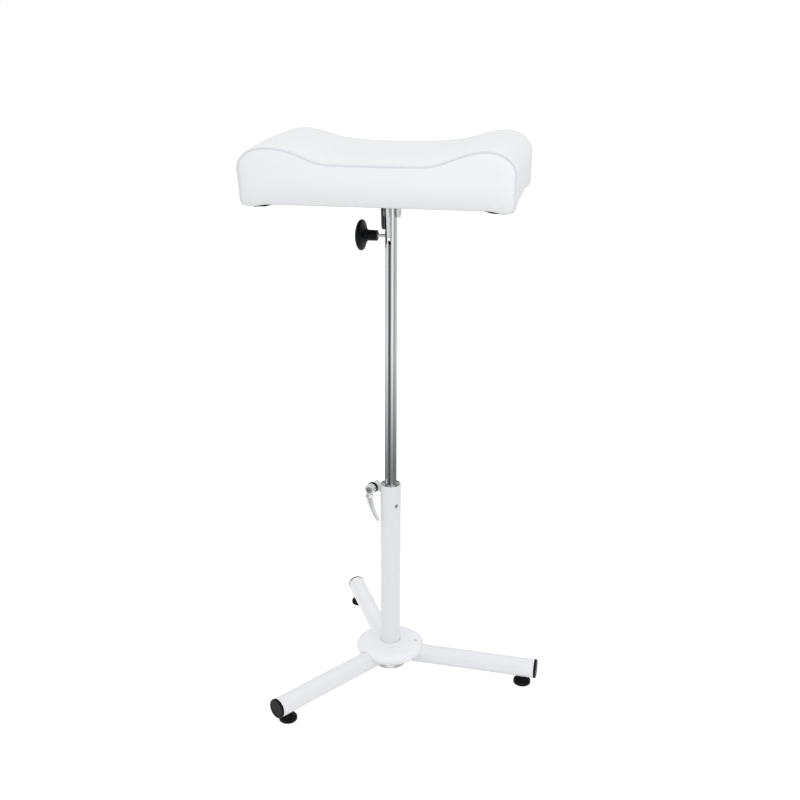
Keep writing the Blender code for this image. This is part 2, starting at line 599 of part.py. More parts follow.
def full_outline(inset=0.0, floor=0.0):
    """The closed outline, drawn in along its normals, with its underside at a height."""
    half = seat_outline()
    loop = [(-x, z) for x, z in reversed(half[1:])] + half
    count = len(loop)
    inner = []
    for i, (x, z) in enumerate(loop):
        before = loop[(i - 1) % count]
        after = loop[(i + 1) % count]
        tx, tz = after[0] - before[0], after[1] - before[1]
        length = hypot(tx, tz)
        inner.append((x + inset * tz / length, max(z - inset * tx / length, floor)))
    inner[0] = (inner[0][0], max(inner[0][1], floor + 1e-5) if floor == 0 else floor)
    inner[-1] = (inner[-1][0], inner[0][1])
    return inner


def seat_body(inset, floor, notch, opening):
    """The cushion's form: a strip round the outline, two swelling faces, and an open or closed underside."""
    bm = bmesh.new()
    seam = SEAT_DEPTH / 2
    depth = seam - inset
    outer = full_outline(inset, floor)
    inside = full_outline(inset + notch, floor + notch)
    count = len(outer)
    edge = depth - notch
    strip = [-edge, 0.3 * SEAM_ROLL_W - edge, SEAM_ROLL_W - edge, 0.0]
    strip += [-y for y in reversed(strip[:-1])]

    def crown(x, y, z):
        share = min(max((z + inset - LOBE_H * 0.45) / (LOBE_H * 0.25), 0.0), 1.0)
        near = min(max((edge - abs(y)) / SEAM_ROLL_W, 0.0), 1.0)
        lobe = (seat_height(x) - VALLEY_H) / (LOBE_H - VALLEY_H)
        roll = SEAM_ROLL * (1 - LOBE_EASE * lobe) * sqrt(max(1 - (1 - near) ** 2, 0.0))
        return z + (roll + TOP_CROWN * (1 - (y / seam) ** 2)) * share

    rows = [[bm.verts.new((x, y, crown(x, y, z))) for x, z in outer] for y in strip]
    for a, b in zip(rows, rows[1:]):
        for i in range(count - 1):
            bm.faces.new((a[i], a[i + 1], b[i + 1], b[i]))
    if opening:
        hems = build_return(bm, [row[0] for row in rows], [row[-1] for row in rows])
    else:
        hems = None
        for a, b in zip(rows, rows[1:]):
            bm.faces.new((a[0], a[-1], b[-1], b[0]))
    middle_z = VALLEY_H * 0.5
    for row, side, end in ((rows[0], -1, 0), (rows[-1], 1, -1)):
        rings = [row]
        for scale, swell in ((1.0, 0.0), (0.92, 0.42), (0.64, 0.88)):
            rings.append([bm.verts.new((x * (0.45 + 0.55 * scale),
                                        side * (depth + FACE_BULGE * swell),
                                        middle_z + (z - middle_z) * scale)) for x, z in inside])
        for a, b in zip(rings, rings[1:]):
            for i in range(count):
                j = (i + 1) % count
                corners = [a[i], a[j], b[j], b[i]]
                if hems and a is row and j == 0:
                    corners[1:1] = [hems[1][end], hems[0][end]]
                bm.faces.new(corners)
        centre = bm.verts.new((0, side * (depth + FACE_BULGE), middle_z * 0.62))
        for i in range(count):
            bm.faces.new((rings[-1][i], rings[-1][(i + 1) % count], centre))
    bmesh.ops.recalc_face_normals(bm, faces=bm.faces)
    bmesh.ops.triangulate(bm, faces=bm.faces)
    return bm


def build_return(bm, left, right):
    """The cover's turned-in hem: a flat frame under the board, left open in the middle."""
    def row_in(verts, step):
        return [bm.verts.new((v.co.x + step, v.co.y, v.co.z)) for v in verts]

    left_in = row_in(left, RETURN_W)
    right_in = row_in(right, -RETURN_W)
    for a, b in ((left, left_in), (right_in, right)):
        for i in range(len(a) - 1):
            bm.faces.new((a[i], a[i + 1], b[i + 1], b[i]))
    for i in (0, 1, -3, -2):
        bm.faces.new((left_in[i], left_in[i + 1], right_in[i + 1], right_in[i]))
    return left_in, right_in


def build_piping(name, frame, side):
    """A welt cord along the seam, from one bottom corner over the top to the other."""
    path = full_outline(0.0, 0.0)[2:-2]
    y = side * SEAT_DEPTH / 2
    curve = bpy.data.curves.new(name, 'CURVE')
    curve.dimensions = '3D'
    curve.bevel_depth = PIPING_R
    curve.bevel_resolution = 1
    curve.use_fill_caps = True
    line = curve.splines.new('POLY')
    line.points.add(len(path) - 1)
    for point, (x, z) in zip(line.points, path):
        point.co = (x, y, z, 1.0)
    wire = bpy.data.objects.new(name + "_wire", curve)
    bpy.context.scene.collection.objects.link(wire)
    graph = bpy.context.evaluated_depsgraph_get()
    mesh = bpy.data.meshes.new_from_object(wire.evaluated_get(graph))
    bm = bmesh.new()
    bm.from_mesh(mesh)
    bmesh.ops.remove_doubles(bm, verts=bm.verts, dist=1e-6)
    bpy.data.objects.remove(wire)
    bpy.data.curves.remove(curve)
    bpy.data.meshes.remove(mesh)
    make(name, bm, PIPING, frame)


def build_seat(root):
    """Everything that tilts: bracket, lock plate, pin, screws, board, cloth, foam, cover, piping."""
    frame = empty("seat_frame", root, (0, 0, PIVOT_Z), (radians(SEAT_TILT), 0, 0))
    plate_top = SEAT_BOTTOM - GAP - CLOTH_T - GAP
    plate_low = plate_top - PLATE_T
    bracket = make("tilt_bracket", block((-PLATE_X, -PLATE_Y, plate_low), (PLATE_X, PLATE_Y, plate_top)),
                   STEEL, frame)
    for side, drop in ((-1, LEFT_EAR_DROP), (1, EAR_R)):
        low, high = sorted((side * EAR_INNER, side * (EAR_INNER + EAR_T)))
        ear = [(EAR_R, plate_low + PLATE_T / 2), (-EAR_R, plate_low + PLATE_T / 2)]
        ear += arc(0.0, EAR_R - drop, EAR_R, 180, 360, 13)
        join(bracket, prism(ear, low, high, "X"))
    cut(bracket, rod(PIN_R + GAP, -0.05, 0.05, 24), (0, 0, 0), (0, pi / 2, 0))
    lock_top = plate_low - GAP
    r = LOCK_CORNER_R
    lock = [(LOCK_HALF_W, lock_top), (-LOCK_HALF_W, lock_top)]
    lock += arc(-LOCK_HALF_W + r, -LOCK_DROP + r, r, 180, 270, 7)
    lock += arc(LOCK_HALF_W - r, -LOCK_DROP + r, r, 270, 360, 7)
    plate = make("lock_plate", prism(lock, -LOCK_T / 2, LOCK_T / 2, "X"), STEEL, frame)
    cut(plate, rod(PIN_R + GAP, -0.05, 0.05, 24), (0, 0, 0), (0, pi / 2, 0))
    reach = EAR_INNER + EAR_T
    make("tilt_pin", rod(PIN_R, -reach, reach, 24, 0.0006), STEEL, frame, (0, 0, 0), (0, pi / 2, 0))

    cloth_low = SEAT_BOTTOM - GAP - CLOTH_T
    edge = 0.012
    half_x, half_y = SEAT_HALF_BOTTOM - SEAT_CORNER - GAP, SEAT_DEPTH / 2 - edge
    cloth = make("base_cloth", block((-half_x, -half_y, cloth_low), (half_x, half_y, SEAT_BOTTOM - GAP)),
                 BLACK_CLOTH, frame, sharp=60.0)
    board_low = SEAT_BOTTOM + COVER_T + GAP
    inner = COVER_T + 2 * GAP
    half_x = SEAT_HALF_BOTTOM - SEAT_CORNER - inner
    half_y = SEAT_DEPTH / 2 - PIPING_NOTCH - inner
    board = make("seat_board", block((-half_x, -half_y, board_low), (half_x, half_y, board_low + BOARD_T)),
                 PLYWOOD, frame, sharp=60.0)
    head = plate_low - GAP
    number = 0
    for x in (-SCREW_X, SCREW_X):
        for y in (-SCREW_Y, SCREW_Y):
            number += 1
            tip = board_low + SCREW_L
            outline = [(0, head - SCREW_HEAD_T), (SCREW_HEAD_R * 0.7, head - SCREW_HEAD_T * 0.8),
                       (SCREW_HEAD_R, head - SCREW_HEAD_T * 0.25), (SCREW_HEAD_R, head), (SCREW_R, head),
                       (SCREW_R, tip - 0.003), (0.0006, tip), (0, tip)]
            make("bracket_screw_%d" % number, turned(outline, 12), STEEL, frame, (x, y, 0))
            for piece, low, high in ((bracket, plate_low - 0.01, plate_top + 0.0003),
                                     (cloth, cloth_low - 0.001, SEAT_BOTTOM + 0.001),
                                     (board, board_low - 0.001, tip + GAP)):
                cut(piece, rod(SCREW_R + GAP, low, high, 12), (x, y, 0))

    soft = empty("cushion_frame", frame, (0, 0, SEAT_BOTTOM))
    cover = make("cushion_cover", seat_body(0.0, 0.0, PIPING_NOTCH, True), LEATHERETTE, soft, sharp=50.0)
    shell = cover.modifiers.new("thickness", 'SOLIDIFY')
    shell.thickness = COVER_T
    shell.offset = -1.0
    shell.use_even_offset = False
    bpy.context.view_layer.update()
    bake(cover, shell)
    foam_low = COVER_T + GAP + BOARD_T + GAP
    make("foam_core", seat_body(COVER_T + FOAM_GAP, foam_low, PIPING_NOTCH, False), FOAM, soft, sharp=50.0)
    build_piping("piping_front", soft, -1)
    build_piping("piping_rear", soft, 1)


def clear():
    """Start from an empty scene."""
    for obj in list(bpy.data.objects):
        bpy.data.objects.remove(obj)


def build():
    """Put the whole footrest together."""
    clear()
    right = LEG_REACH
    left = max(SEAT_HALF_WIDTH + PIPING_R, LEG_REACH / 2 + LEG_R)
    root = empty("footrest", None, ((left - right) / 2, 0, 0))
    build_hub(root)
    build_legs(root)
    clamp = build_column(root)
    build_clamp(clamp)
    build_mast(root)
    build_knob(root)
    build_seat(root)


build()
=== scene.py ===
"""Looks of the pedicure footrest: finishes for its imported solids, its sewn cushion and a plain studio."""

import json
from math import cos, pi, radians, sin

import bpy
import numpy as np
from mathutils import Matrix, Vector, noise


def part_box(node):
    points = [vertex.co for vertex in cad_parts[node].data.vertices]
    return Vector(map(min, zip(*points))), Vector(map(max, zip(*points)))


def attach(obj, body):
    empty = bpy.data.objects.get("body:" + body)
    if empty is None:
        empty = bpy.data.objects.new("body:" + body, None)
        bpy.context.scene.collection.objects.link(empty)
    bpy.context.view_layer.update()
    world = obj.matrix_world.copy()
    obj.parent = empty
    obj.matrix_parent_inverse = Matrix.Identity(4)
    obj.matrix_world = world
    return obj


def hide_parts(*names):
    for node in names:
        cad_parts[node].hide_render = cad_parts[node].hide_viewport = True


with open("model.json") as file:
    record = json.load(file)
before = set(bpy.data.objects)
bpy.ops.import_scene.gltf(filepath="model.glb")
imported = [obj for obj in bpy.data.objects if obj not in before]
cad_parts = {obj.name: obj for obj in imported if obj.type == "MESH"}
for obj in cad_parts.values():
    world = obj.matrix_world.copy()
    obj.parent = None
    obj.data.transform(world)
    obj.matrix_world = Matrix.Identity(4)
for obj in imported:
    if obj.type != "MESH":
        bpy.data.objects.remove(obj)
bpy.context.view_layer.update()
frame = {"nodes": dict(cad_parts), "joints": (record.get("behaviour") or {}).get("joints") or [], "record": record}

bl_info = {
    "name": "Pedicure footrest",
    "version": (1, 0, 0),
    "blender": (4, 5, 0),
    "location": "3D View > Sidebar > Footrest",
    "description": "Dresses the packed footrest: paint, chrome, plastics, cushion and studio",
    "category": "Object",
}

NODES = frame["nodes"]
SEEN = ("Is Camera Ray", "Is Glossy Ray", "Is Transmission Ray")
TILT_JOINT = next(joint for joint in frame["joints"] if joint["name"] == "seat_tilt")
SLOT_OF = {part["node"]: part["material_slot"] for part in frame["record"]["subparts"]}


# Sizes and colours a user would change

class CushionForm(bpy.types.PropertyGroup):
    """Form of the saddle cushion, in its own frame: X along it, Z up from its underside."""

    tilt: bpy.props.FloatProperty(
        name="Tilt", description="Tilt of the cushion at rest, front edge down",
        default=radians(7.4), subtype='ANGLE')
    underside: bpy.props.FloatProperty(
        name="Underside", description="Tilt axis to the cushion's underside",
        default=0.0275, unit='LENGTH')
    half_width: bpy.props.FloatProperty(
        name="Half width", description="Middle to the widest point of a side",
        default=0.2125, unit='LENGTH')
    half_bottom: bpy.props.FloatProperty(
        name="Half bottom", description="Middle to the lower corner of a side",
        default=0.2100, unit='LENGTH')
    depth: bpy.props.FloatProperty(
        name="Depth", description="Front seam to rear seam",
        default=0.1920, unit='LENGTH')
    lobe_x: bpy.props.FloatProperty(
        name="Lobe place", description="Middle to the top of a lobe",
        default=0.1690, unit='LENGTH')
    lobe_height: bpy.props.FloatProperty(
        name="Lobe height", description="Height of the lobes at the seam",
        default=0.0865, unit='LENGTH')
    valley_height: bpy.props.FloatProperty(
        name="Valley height", description="Height of the trough at the seam",
        default=0.0630, unit='LENGTH')
    valley_half: bpy.props.FloatProperty(
        name="Valley half width", description="Middle to where the trough starts to rise",
        default=0.0720, unit='LENGTH')
    shoulder: bpy.props.FloatProperty(
        name="Shoulder", description="Height over which a lobe turns into the side",
        default=0.0330, unit='LENGTH')
    corner: bpy.props.FloatProperty(
        name="Corner", description="Radius of the lower corners",
        default=0.0130, unit='LENGTH')
    seam_roll: bpy.props.FloatProperty(
        name="Seam roll", description="Rise of the top next to each seam, in the trough",
        default=0.0060, unit='LENGTH')
    lobe_ease: bpy.props.FloatProperty(
        name="Lobe ease", description="Share of that rise lost on the lobes",
        default=0.65, subtype='FACTOR')
    roll_width: bpy.props.FloatProperty(
        name="Roll width", description="Seam to the crest of the roll",
        default=0.0125, unit='LENGTH')
    slope_fill: bpy.props.FloatProperty(
        name="Slope fill", description="How far the foam fills the foot of each lobe behind the seam",
        default=0.0028, unit='LENGTH')
    rear_pull: bpy.props.FloatProperty(
        name="Rear pull", description="How far the right side draws in towards the rear seam",
        default=0.0034, unit='LENGTH')
    crown: bpy.props.FloatProperty(
        name="Crown", description="Further swell of the top to its middle before stuffing",
        default=0.0006, unit='LENGTH')
    face_swell: bpy.props.FloatProperty(
        name="Face swell", description="Swell of the front and rear panels before stuffing",
        default=0.0075, unit='LENGTH')
    seam_sink: bpy.props.FloatProperty(
        name="Seam sink", description="How deep the seams draw the cover in",
        default=0.0018, unit='LENGTH')
    stuffing: bpy.props.FloatProperty(
        name="Stuffing", description="Pressure of the foam on the cover", default=3.0)
    swell_limit: bpy.props.FloatProperty(
        name="Swell limit", description="How far the stuffing may move the cover",
        default=0.0026, unit='LENGTH')
    welt: bpy.props.FloatProperty(
        name="Welt", description="Radius of the welt cord in the seams",
        default=0.0015, unit='LENGTH')
    left_fill: bpy.props.FloatProperty(
        name="Left fill", description="How much fuller the left end is stuffed than the right one",
        default=0.0030, unit='LENGTH')
    left_slope: bpy.props.FloatProperty(
        name="Left slope", description="How much fuller the left lobe's slope is at the front seam",
        default=0.0038, unit='LENGTH')
    corner_sag: bpy.props.FloatProperty(
        name="Corner sag", description="How far the lower corners sag at the seams",
        default=0.0042, unit='LENGTH')
    pleat_drop: bpy.props.FloatProperty(
        name="Pleat drop", description="How far the lining's pleats hang at the front corners",
        default=0.0024, unit='LENGTH')


class FootrestColours(bpy.types.PropertyGroup):
    """Colours of the finishes."""

    paint: bpy.props.FloatVectorProperty(
        name="Paint", description="White powder coat of the base and column",
        default=(0.830, 0.829, 0.847), subtype='COLOR')
    leatherette: bpy.props.FloatVectorProperty(
        name="Leatherette", description="White cover of the cushion's top and sides",
        default=(0.868, 0.868, 0.872), subtype='COLOR')
    # A bluer copy of the leatherette's colour: painted light on the front and rear panels.
    panel: bpy.props.FloatVectorProperty(
        name="Panel", description="White cover of the cushion's front and rear panels",
        default=(0.868, 0.871, 0.893), subtype='COLOR')
    # Greyer than the leatherette: painted shade of the seam grooves.
    welt: bpy.props.FloatVectorProperty(
        name="Welt", description="Welt cord in the seams",
        default=(0.816, 0.818, 0.848), subtype='COLOR')
    chrome: bpy.props.FloatVectorProperty(
        name="Chrome", description="Plating of the mast and clamp lever",
        default=(0.800, 0.810, 0.815), subtype='COLOR')
    zinc: bpy.props.FloatVectorProperty(
        name="Zinc", description="Plating of the bracket, screws, pins and hub washer",
        default=(0.660, 0.662, 0.660), subtype='COLOR')
    black: bpy.props.FloatVectorProperty(
        name="Black plastic", description="Knob and leg caps",
        default=(0.0022, 0.0026, 0.0038), subtype='COLOR')
    rubber: bpy.props.FloatVectorProperty(
        name="Rubber", description="Feet and clamp collar",
        default=(0.0042, 0.0040, 0.0050), subtype='COLOR')
    bush: bpy.props.FloatVectorProperty(
        name="Bush", description="Grey plastic of the guide bush",
        default=(0.250, 0.252, 0.258), subtype='COLOR')
    nylon: bpy.props.FloatVectorProperty(
        name="Nylon", description="Natural nylon of the glide ring and tilt washers",
        default=(0.74, 0.73, 0.69), subtype='COLOR')
    lining: bpy.props.FloatVectorProperty(
        name="Lining", description="Cloth under the cushion",
        default=(0.018, 0.018, 0.020), subtype='COLOR')


class StudioSetup(bpy.types.PropertyGroup):
    """Camera and light."""

    camera_place: bpy.props.FloatVectorProperty(
        name="Camera place", description="Where the camera stands",
        default=(0.38545, -1.5574, 0.9853), subtype='XYZ')
    yaw: bpy.props.FloatProperty(
        name="Yaw", description="Turn of the camera to the left", default=0.2483, subtype='ANGLE')
    pitch: bpy.props.FloatProperty(
        name="Pitch", description="How far the camera looks down", default=0.2922, subtype='ANGLE')
    roll: bpy.props.FloatProperty(
        name="Roll", description="Roll of the camera", default=0.0048, subtype='ANGLE')
    focal_pixels: bpy.props.FloatProperty(
        name="Focal length", description="Focal length in pixels of the 800 pixel frame", default=1003.23)
    fill: bpy.props.FloatProperty(
        name="Fill", description="Light of the surroundings", default=1.0)
    fill_colour: bpy.props.FloatVectorProperty(
        name="Fill colour", description="Colour of the surroundings' light",
        default=(0.982, 0.989, 1.0), subtype='COLOR')
    key: bpy.props.FloatProperty(
        name="Key", description="Softbox in front on the right", default=5.0, unit='POWER')
    key_size: bpy.props.FloatProperty(
        name="Key size", description="Edge of the softbox", default=1.6, unit='LENGTH')
    key_place: bpy.props.FloatVectorProperty(
        name="Key place", description="Where the softbox stands",
        default=(1.5, -2.0, 1.5), subtype='XYZ')
    key_colour: bpy.props.FloatVectorProperty(
        name="Key colour", description="Colour of the softbox's light",
        default=(0.975, 0.980, 1.0), subtype='COLOR')


# Shader sketching

class Wire:
    """A node's output; arithmetic on it adds Math nodes."""

    def __init__(self, sketch, socket):
        self.sketch = sketch
        self.socket = socket

    def maths(self, operation, *terms):
        return self.sketch.node('ShaderNodeMath', {"operation": operation}, dict(enumerate(terms)))

    def __add__(self, other):
        return self.maths('ADD', self, other)

    def __radd__(self, other):
        return self.maths('ADD', other, self)

    def __sub__(self, other):
        return self.maths('SUBTRACT', self, other)

    def __rsub__(self, other):
        return self.maths('SUBTRACT', other, self)

    def __mul__(self, other):
        return self.maths('MULTIPLY', self, other)

    def __rmul__(self, other):
        return self.maths('MULTIPLY', other, self)

    def __or__(self, other):
        return self.maths('MAXIMUM', self, other)


class Sketch:
    """A node tree being drawn."""

    def __init__(self, tree):
        self.tree = tree
        tree.nodes.clear()

    def node(self, kind, settings=None, sockets=None, output=0):
        """Add a node: its settings first, then its sockets' values or links."""
        made = self.tree.nodes.new(kind)
        for name, value in (settings or {}).items():
            setattr(made, name, value)
        for name, value in (sockets or {}).items():
            if isinstance(value, Wire):
                self.tree.links.new(value.socket, made.inputs[name])
            else:
                made.inputs[name].default_value = value
        return Wire(self, made.outputs[output] if made.outputs else None)

    def span(self, value, low, high, to_low=0.0, to_high=1.0):
        """A value's range carried to another one, held at its ends."""
        return self.node('ShaderNodeMapRange', {"clamp": True}, {
            "Value": value, "From Min": low, "From Max": high, "To Min": to_low, "To Max": to_high})

    def mix(self, factor, first, second):
        """A colour between two colours."""
        return self.node('ShaderNodeMix', {"data_type": 'RGBA'}, {0: factor, 6: first, 7: second}, 2)


class Finish(Sketch):
    """A material made of one Principled shader and its textures, in metres of the object's own space."""

    def __init__(self, name, **constants):
        self.material = bpy.data.materials.new(name)
        self.material.use_nodes = True
        super().__init__(self.material.node_tree)
        self.place = self.node('ShaderNodeTexCoord', output="Object")
        self.constants = constants

    def grain(self, per_metre, detail=3.0, stretch=(1, 1, 1), rough=0.5):
        """Noise with a number of features to the metre, drawn out along an axis when asked."""
        place = self.place
        if stretch != (1, 1, 1):
            place = self.node('ShaderNodeVectorMath', {"operation": 'MULTIPLY'}, {0: place, 1: stretch})
        return self.node('ShaderNodeTexNoise', {}, {"Vector": place, "Scale": per_metre, "Detail": detail,
                                                    "Roughness": rough})

    def axes(self):
        """The place's three numbers."""
        parts = self.node('ShaderNodeSeparateXYZ', {}, {0: self.place}).socket.node
        return [Wire(self, parts.outputs[name]) for name in "XYZ"]

    def cells(self, per_metre, feature='DISTANCE_TO_EDGE'):
        """Cells like those of leather."""
        return self.node('ShaderNodeTexVoronoi', {"feature": feature},
                         {"Vector": self.place, "Scale": per_metre})

    def done(self, colour, roughness, height=None, depth=0.0, **varying):
        """Close the material: colour, roughness and a bump whose height is in metres."""
        sockets = {"Base Color": colour, "Roughness": roughness}
        sockets.update(self.constants)
        sockets.update({name.replace("_", " ").title(): value for name, value in varying.items()})
        if height is not None:
            sockets["Normal"] = self.node('ShaderNodeBump', {},
                                          {"Strength": 1.0, "Distance": depth, "Height": height})
        shader = self.node('ShaderNodeBsdfPrincipled', {}, sockets)
        self.node('ShaderNodeOutputMaterial', {}, {"Surface": shader})
        return self.material


def tint(colour, factor):
    """A colour made lighter or darker."""
    return [min(1.0, channel * factor) for channel in colour]


def shade(colour, factor):
    """A colour made lighter or darker, with its alpha."""
    return (*tint(colour, factor), 1.0)


def powder_coat(name, colour):
    """White powder coat: orange peel, faint mottling, a few rubbed spots."""
    f = Finish(name, IOR=1.5)
    cloud = f.grain(14, 2)
    peel = f.grain(420, 2)
    rub = f.span(f.grain(60, 5, rough=0.7), 0.60, 0.72)
    base = f.mix(cloud, shade(colour, 0.985), shade(colour, 1.012))
    base = f.mix(rub * 0.25, base, shade(colour, 0.93))
    return f.done(base, 0.30 + 0.10 * cloud + 0.12 * rub, peel, 0.00007)


def chrome_plate(name, colour, polish, groove=None, metal=1.0):
    """Bright chrome: fine draw lines along the tube, dull haze, slide marks, and painted shade darkening a groove.
    """
    f = Finish(name)
    lines = f.grain(900, 2, (1, 1, 0.012))
    haze = f.grain(24, 4)
    marks = f.span(f.grain(260, 3, (1, 1, 0.03)), 0.62, 0.74)
    base = f.mix(marks * 0.4 + haze * 0.15, shade(colour, 1.0), shade(colour, 0.86))
    rough = polish + 0.05 * haze + 0.10 * marks
    if not groove:
        return f.done(base, rough, lines, 0.000006, metallic=metal)
    middle, radius, half = groove
    x, y, _z = f.axes()
    off = x - middle
    floor = f.span(off.maths('ABSOLUTE', off), half - 0.0002, half + 0.0001, 1.0, 0.0)
    # Painted shade: the groove's floor is coloured near black, rougher and less metallic, standing in for the
    # groove's shadow.
    groove_shade = floor * f.span(y, radius * -0.85, radius * -0.82, 1.0, 0.0)
    base = f.mix(groove_shade, base, (0.070, 0.070, 0.072, 1))
    return f.done(base, rough + 0.30 * groove_shade, lines, 0.000006, metallic=1 - 0.9 * groove_shade)


def zinc_plate(name, colour, shaded_ear=None):
    """Zinc-plated steel: cloudy passivation and brush marks, with painted shade on the left ear when asked."""
    f = Finish(name)
    cloud = f.grain(70, 4)
    brush = f.grain(700, 2, (1, 0.06, 1))
    base = f.mix(cloud, shade(colour, 0.88), shade(colour, 1.10))
    rough = 0.24 + 0.16 * cloud + 0.06 * brush
    if not shaded_ear:
        return f.done(base, rough, brush, 0.00002, metallic=1.0)
    place, height = shaded_ear
    x, _y, z = f.axes()
    edge, outer = 0.0005, place - 0.0055
    # Painted shade: the left ear is coloured near black, standing in for its shadow beside the mast.
    black = f.span(x, place, place + edge, 1.0, 0.0) * f.span(z, height, height + edge, 1.0, 0.0)
    black = black * f.span(x, outer, outer + edge)
    base = f.mix(black, base, (0.022, 0.022, 0.023, 1))
    return f.done(base, rough + 0.15 * black, brush, 0.00002, metallic=0.5 - 0.5 * black)


def rubbed_steel(colour, middle, highlight_turn):
    """Dull steel round an axis, with a painted highlight, broken up by grain, on the side that faces the camera.
    """
    f = Finish("rubbed_steel")
    x, y, _z = f.axes()
    turn = y.maths('ARCTAN2', y, x - middle)
    off = turn - highlight_turn
    # Painted highlight: lighter colour on the turn towards the camera.
    spot = f.span(off.maths('ABSOLUTE', off), 0.10, 0.42, 1.0, 0.0)
    rubbed = spot * f.span(f.grain(500, 2), 0.35, 0.55)
    base = f.mix(rubbed, shade(colour, 0.78), shade(colour, 1.45))
    return f.done(base, 0.36 - 0.10 * rubbed, metallic=0.3)


def moulded_plastic(name, colour, gloss, index=1.46, middle=None):
    """Moulded plastic: spark-eroded grain, handled patches, and painted reflection streaks round a middle when
    asked.
    """
    f = Finish(name, IOR=index)
    spark = f.grain(1500, 2)
    worn = f.span(f.grain(34, 3), 0.45, 0.65)
    base = f.mix(worn, shade(colour, 0.85), shade(colour, 1.25))
    if middle is not None:
        # Painted reflection: light and dark streaks by turn round the middle, in place of the handled patches.
        x, y, _z = f.axes()
        turn = y.maths('ARCTAN2', y, x - middle)
        reflection_streaks = turn.maths('SINE', 5 * turn + 1.2) * 0.5 + turn.maths('SINE', 11 * turn) * 0.3
        base = f.mix(f.span(reflection_streaks, -0.5, 0.7), shade(colour, 0.45), shade(colour, 2.1))
    return f.done(base, gloss + 0.10 * (1 - worn) + 0.06 * spark, spark, 0.00003)


def foot_rubber(colour):
    """Soft rubber: dusty, matt, faintly pitted."""
    f = Finish("foot_rubber", IOR=1.22)
    dust = f.span(f.grain(90, 5, rough=0.65), 0.45, 0.75)
    pits = f.cells(1100)
    base = f.mix(dust * 0.5, shade(colour, 1.0), shade(colour, 2.6))
    return f.done(base, 0.48 + 0.25 * dust, pits, 0.00003)


def birch_board():
    """Birch plywood: long grain on the faces, plies at the edge."""
    f = Finish("birch_plywood")
    figure = f.grain(60, 5, (0.06, 1, 1), 0.6)
    plies = f.grain(700, 1, (0.02, 0.02, 1))
    base = f.mix(figure, (0.50, 0.34, 0.19, 1), (0.74, 0.58, 0.38, 1))
    base = f.mix(f.span(plies, 0.5, 0.6, 0.0, 0.35), base, (0.36, 0.23, 0.12, 1))
    return f.done(base, 0.62 + 0.15 * figure, figure, 0.0001)


def lining_cloth(colour):
    """Black non-woven lining: pressed fibres and a small embossed dot grid."""
    f = Finish("lining_cloth")
    fibre = f.grain(1300, 3, (1, 0.35, 1), 0.7)
    dots = f.span(f.cells(520, 'F1'), 0.1, 0.5)
    base = f.mix(fibre, shade(colour, 0.7), shade(colour, 1.9))
    return f.done(base, 0.80 + 0.15 * fibre, fibre * 0.6 + dots * 0.4, 0.00012)


def leatherette(colour, panel, half):
    """White leatherette: pebble grain, shallow creases, and painted light and shade: bluer panels lighter to the
    right and darker at their left end, darker grain hollows, darker low down.
    """
    f = Finish("white_leatherette", IOR=1.47)
    cloud = f.grain(9, 3)
    pebble = f.span(f.cells(720), 0.0, 0.28)
    pore = f.grain(2200, 2)
    crease = f.span(f.grain(120, 4, (1, 0.4, 1), 0.6), 0.40, 0.62)
    x, y, z = f.axes()
    base = f.mix(cloud, shade(colour, 0.985), shade(colour, 1.010))
    # Painted light: the front and rear panels take a bluer copy of the colour, lighter towards the right.
    panel_light_and_shade = f.mix(f.span(x, -0.200, 0.200), shade(panel, 0.988), shade(panel, 1.042))
    # Painted shade at the panels' left end.
    panel_light_and_shade = f.mix(f.span(x, -0.216, -0.196, 0.75, 0.0), panel_light_and_shade, shade(panel, 0.88))
    base = f.mix(f.span(y.maths('ABSOLUTE', y), half - 0.0008, half + 0.0002), base, panel_light_and_shade)
    # Painted shade in the hollows of the pebble grain.
    base = f.mix((1 - pebble) * 0.10, base, shade(colour, 0.90))
    # Painted shade: darker towards the bottom.
    base = f.mix(f.span(z, 0.0, 0.040, 0.60, 0.0), base, shade(colour, 0.90))
    rough = 0.40 + 0.08 * (1 - pebble) + 0.06 * cloud
    return f.done(base, rough, pebble * 0.7 + pore * 0.15 + crease * 0.5, 0.00009)


def welt_cord(colour):
    """Leatherette drawn over a cord."""
    f = Finish("welt_leatherette", IOR=1.47)
    pebble = f.span(f.cells(900), 0.0, 0.3)
    # Painted shade: the welt colour is greyer than the cover's, for the seam groove's shade, and darker in the
    # grain's hollows.
    base = f.mix(pebble, shade(colour, 0.90), shade(colour, 1.03))
    return f.done(base, 0.46 + 0.08 * (1 - pebble), pebble, 0.00006)


# Mesh helpers

def new_piece(name, points, faces, material, body, place=None):
    """A smooth-shaded mesh object that moves with a body."""
    mesh = bpy.data.meshes.new(name)
    mesh.from_pydata([tuple(map(float, point)) for point in points], [], faces)
    mesh.validate()
    mesh.shade_smooth()
    mesh.materials.append(material)
    piece = bpy.data.objects.new(name, mesh)
    bpy.context.scene.collection.objects.link(piece)
    if place is not None:
        piece.matrix_world = place
    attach(piece, body)
    return piece


def dress_nodes(material, *nodes):
    """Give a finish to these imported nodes."""
    for node in nodes:
        mesh = NODES[node].data
        mesh.materials.clear()
        mesh.materials.append(material)


def dress(material, *slots):
    """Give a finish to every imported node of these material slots."""
    dress_nodes(material, *[node for node, slot in SLOT_OF.items() if slot in slots])


def along(points, count):
    """A polyline walked at equal steps."""
    points = np.asarray(points, float)
    steps = np.r_[0.0, np.cumsum(np.linalg.norm(np.diff(points, axis=0), axis=1))]
    want = np.linspace(0.0, steps[-1], count + 1)
    return np.column_stack([np.interp(want, steps, points[:, k]) for k in range(points.shape[1])])


# Cushion form

ACROSS = 76     # quads along the top and the bottom of a panel
UPRIGHT = 22    # quads up a side
BETWEEN = 36    # quads from the front seam to the rear one
STUFFING_FRAMES = 20    # length of the cloth simulation


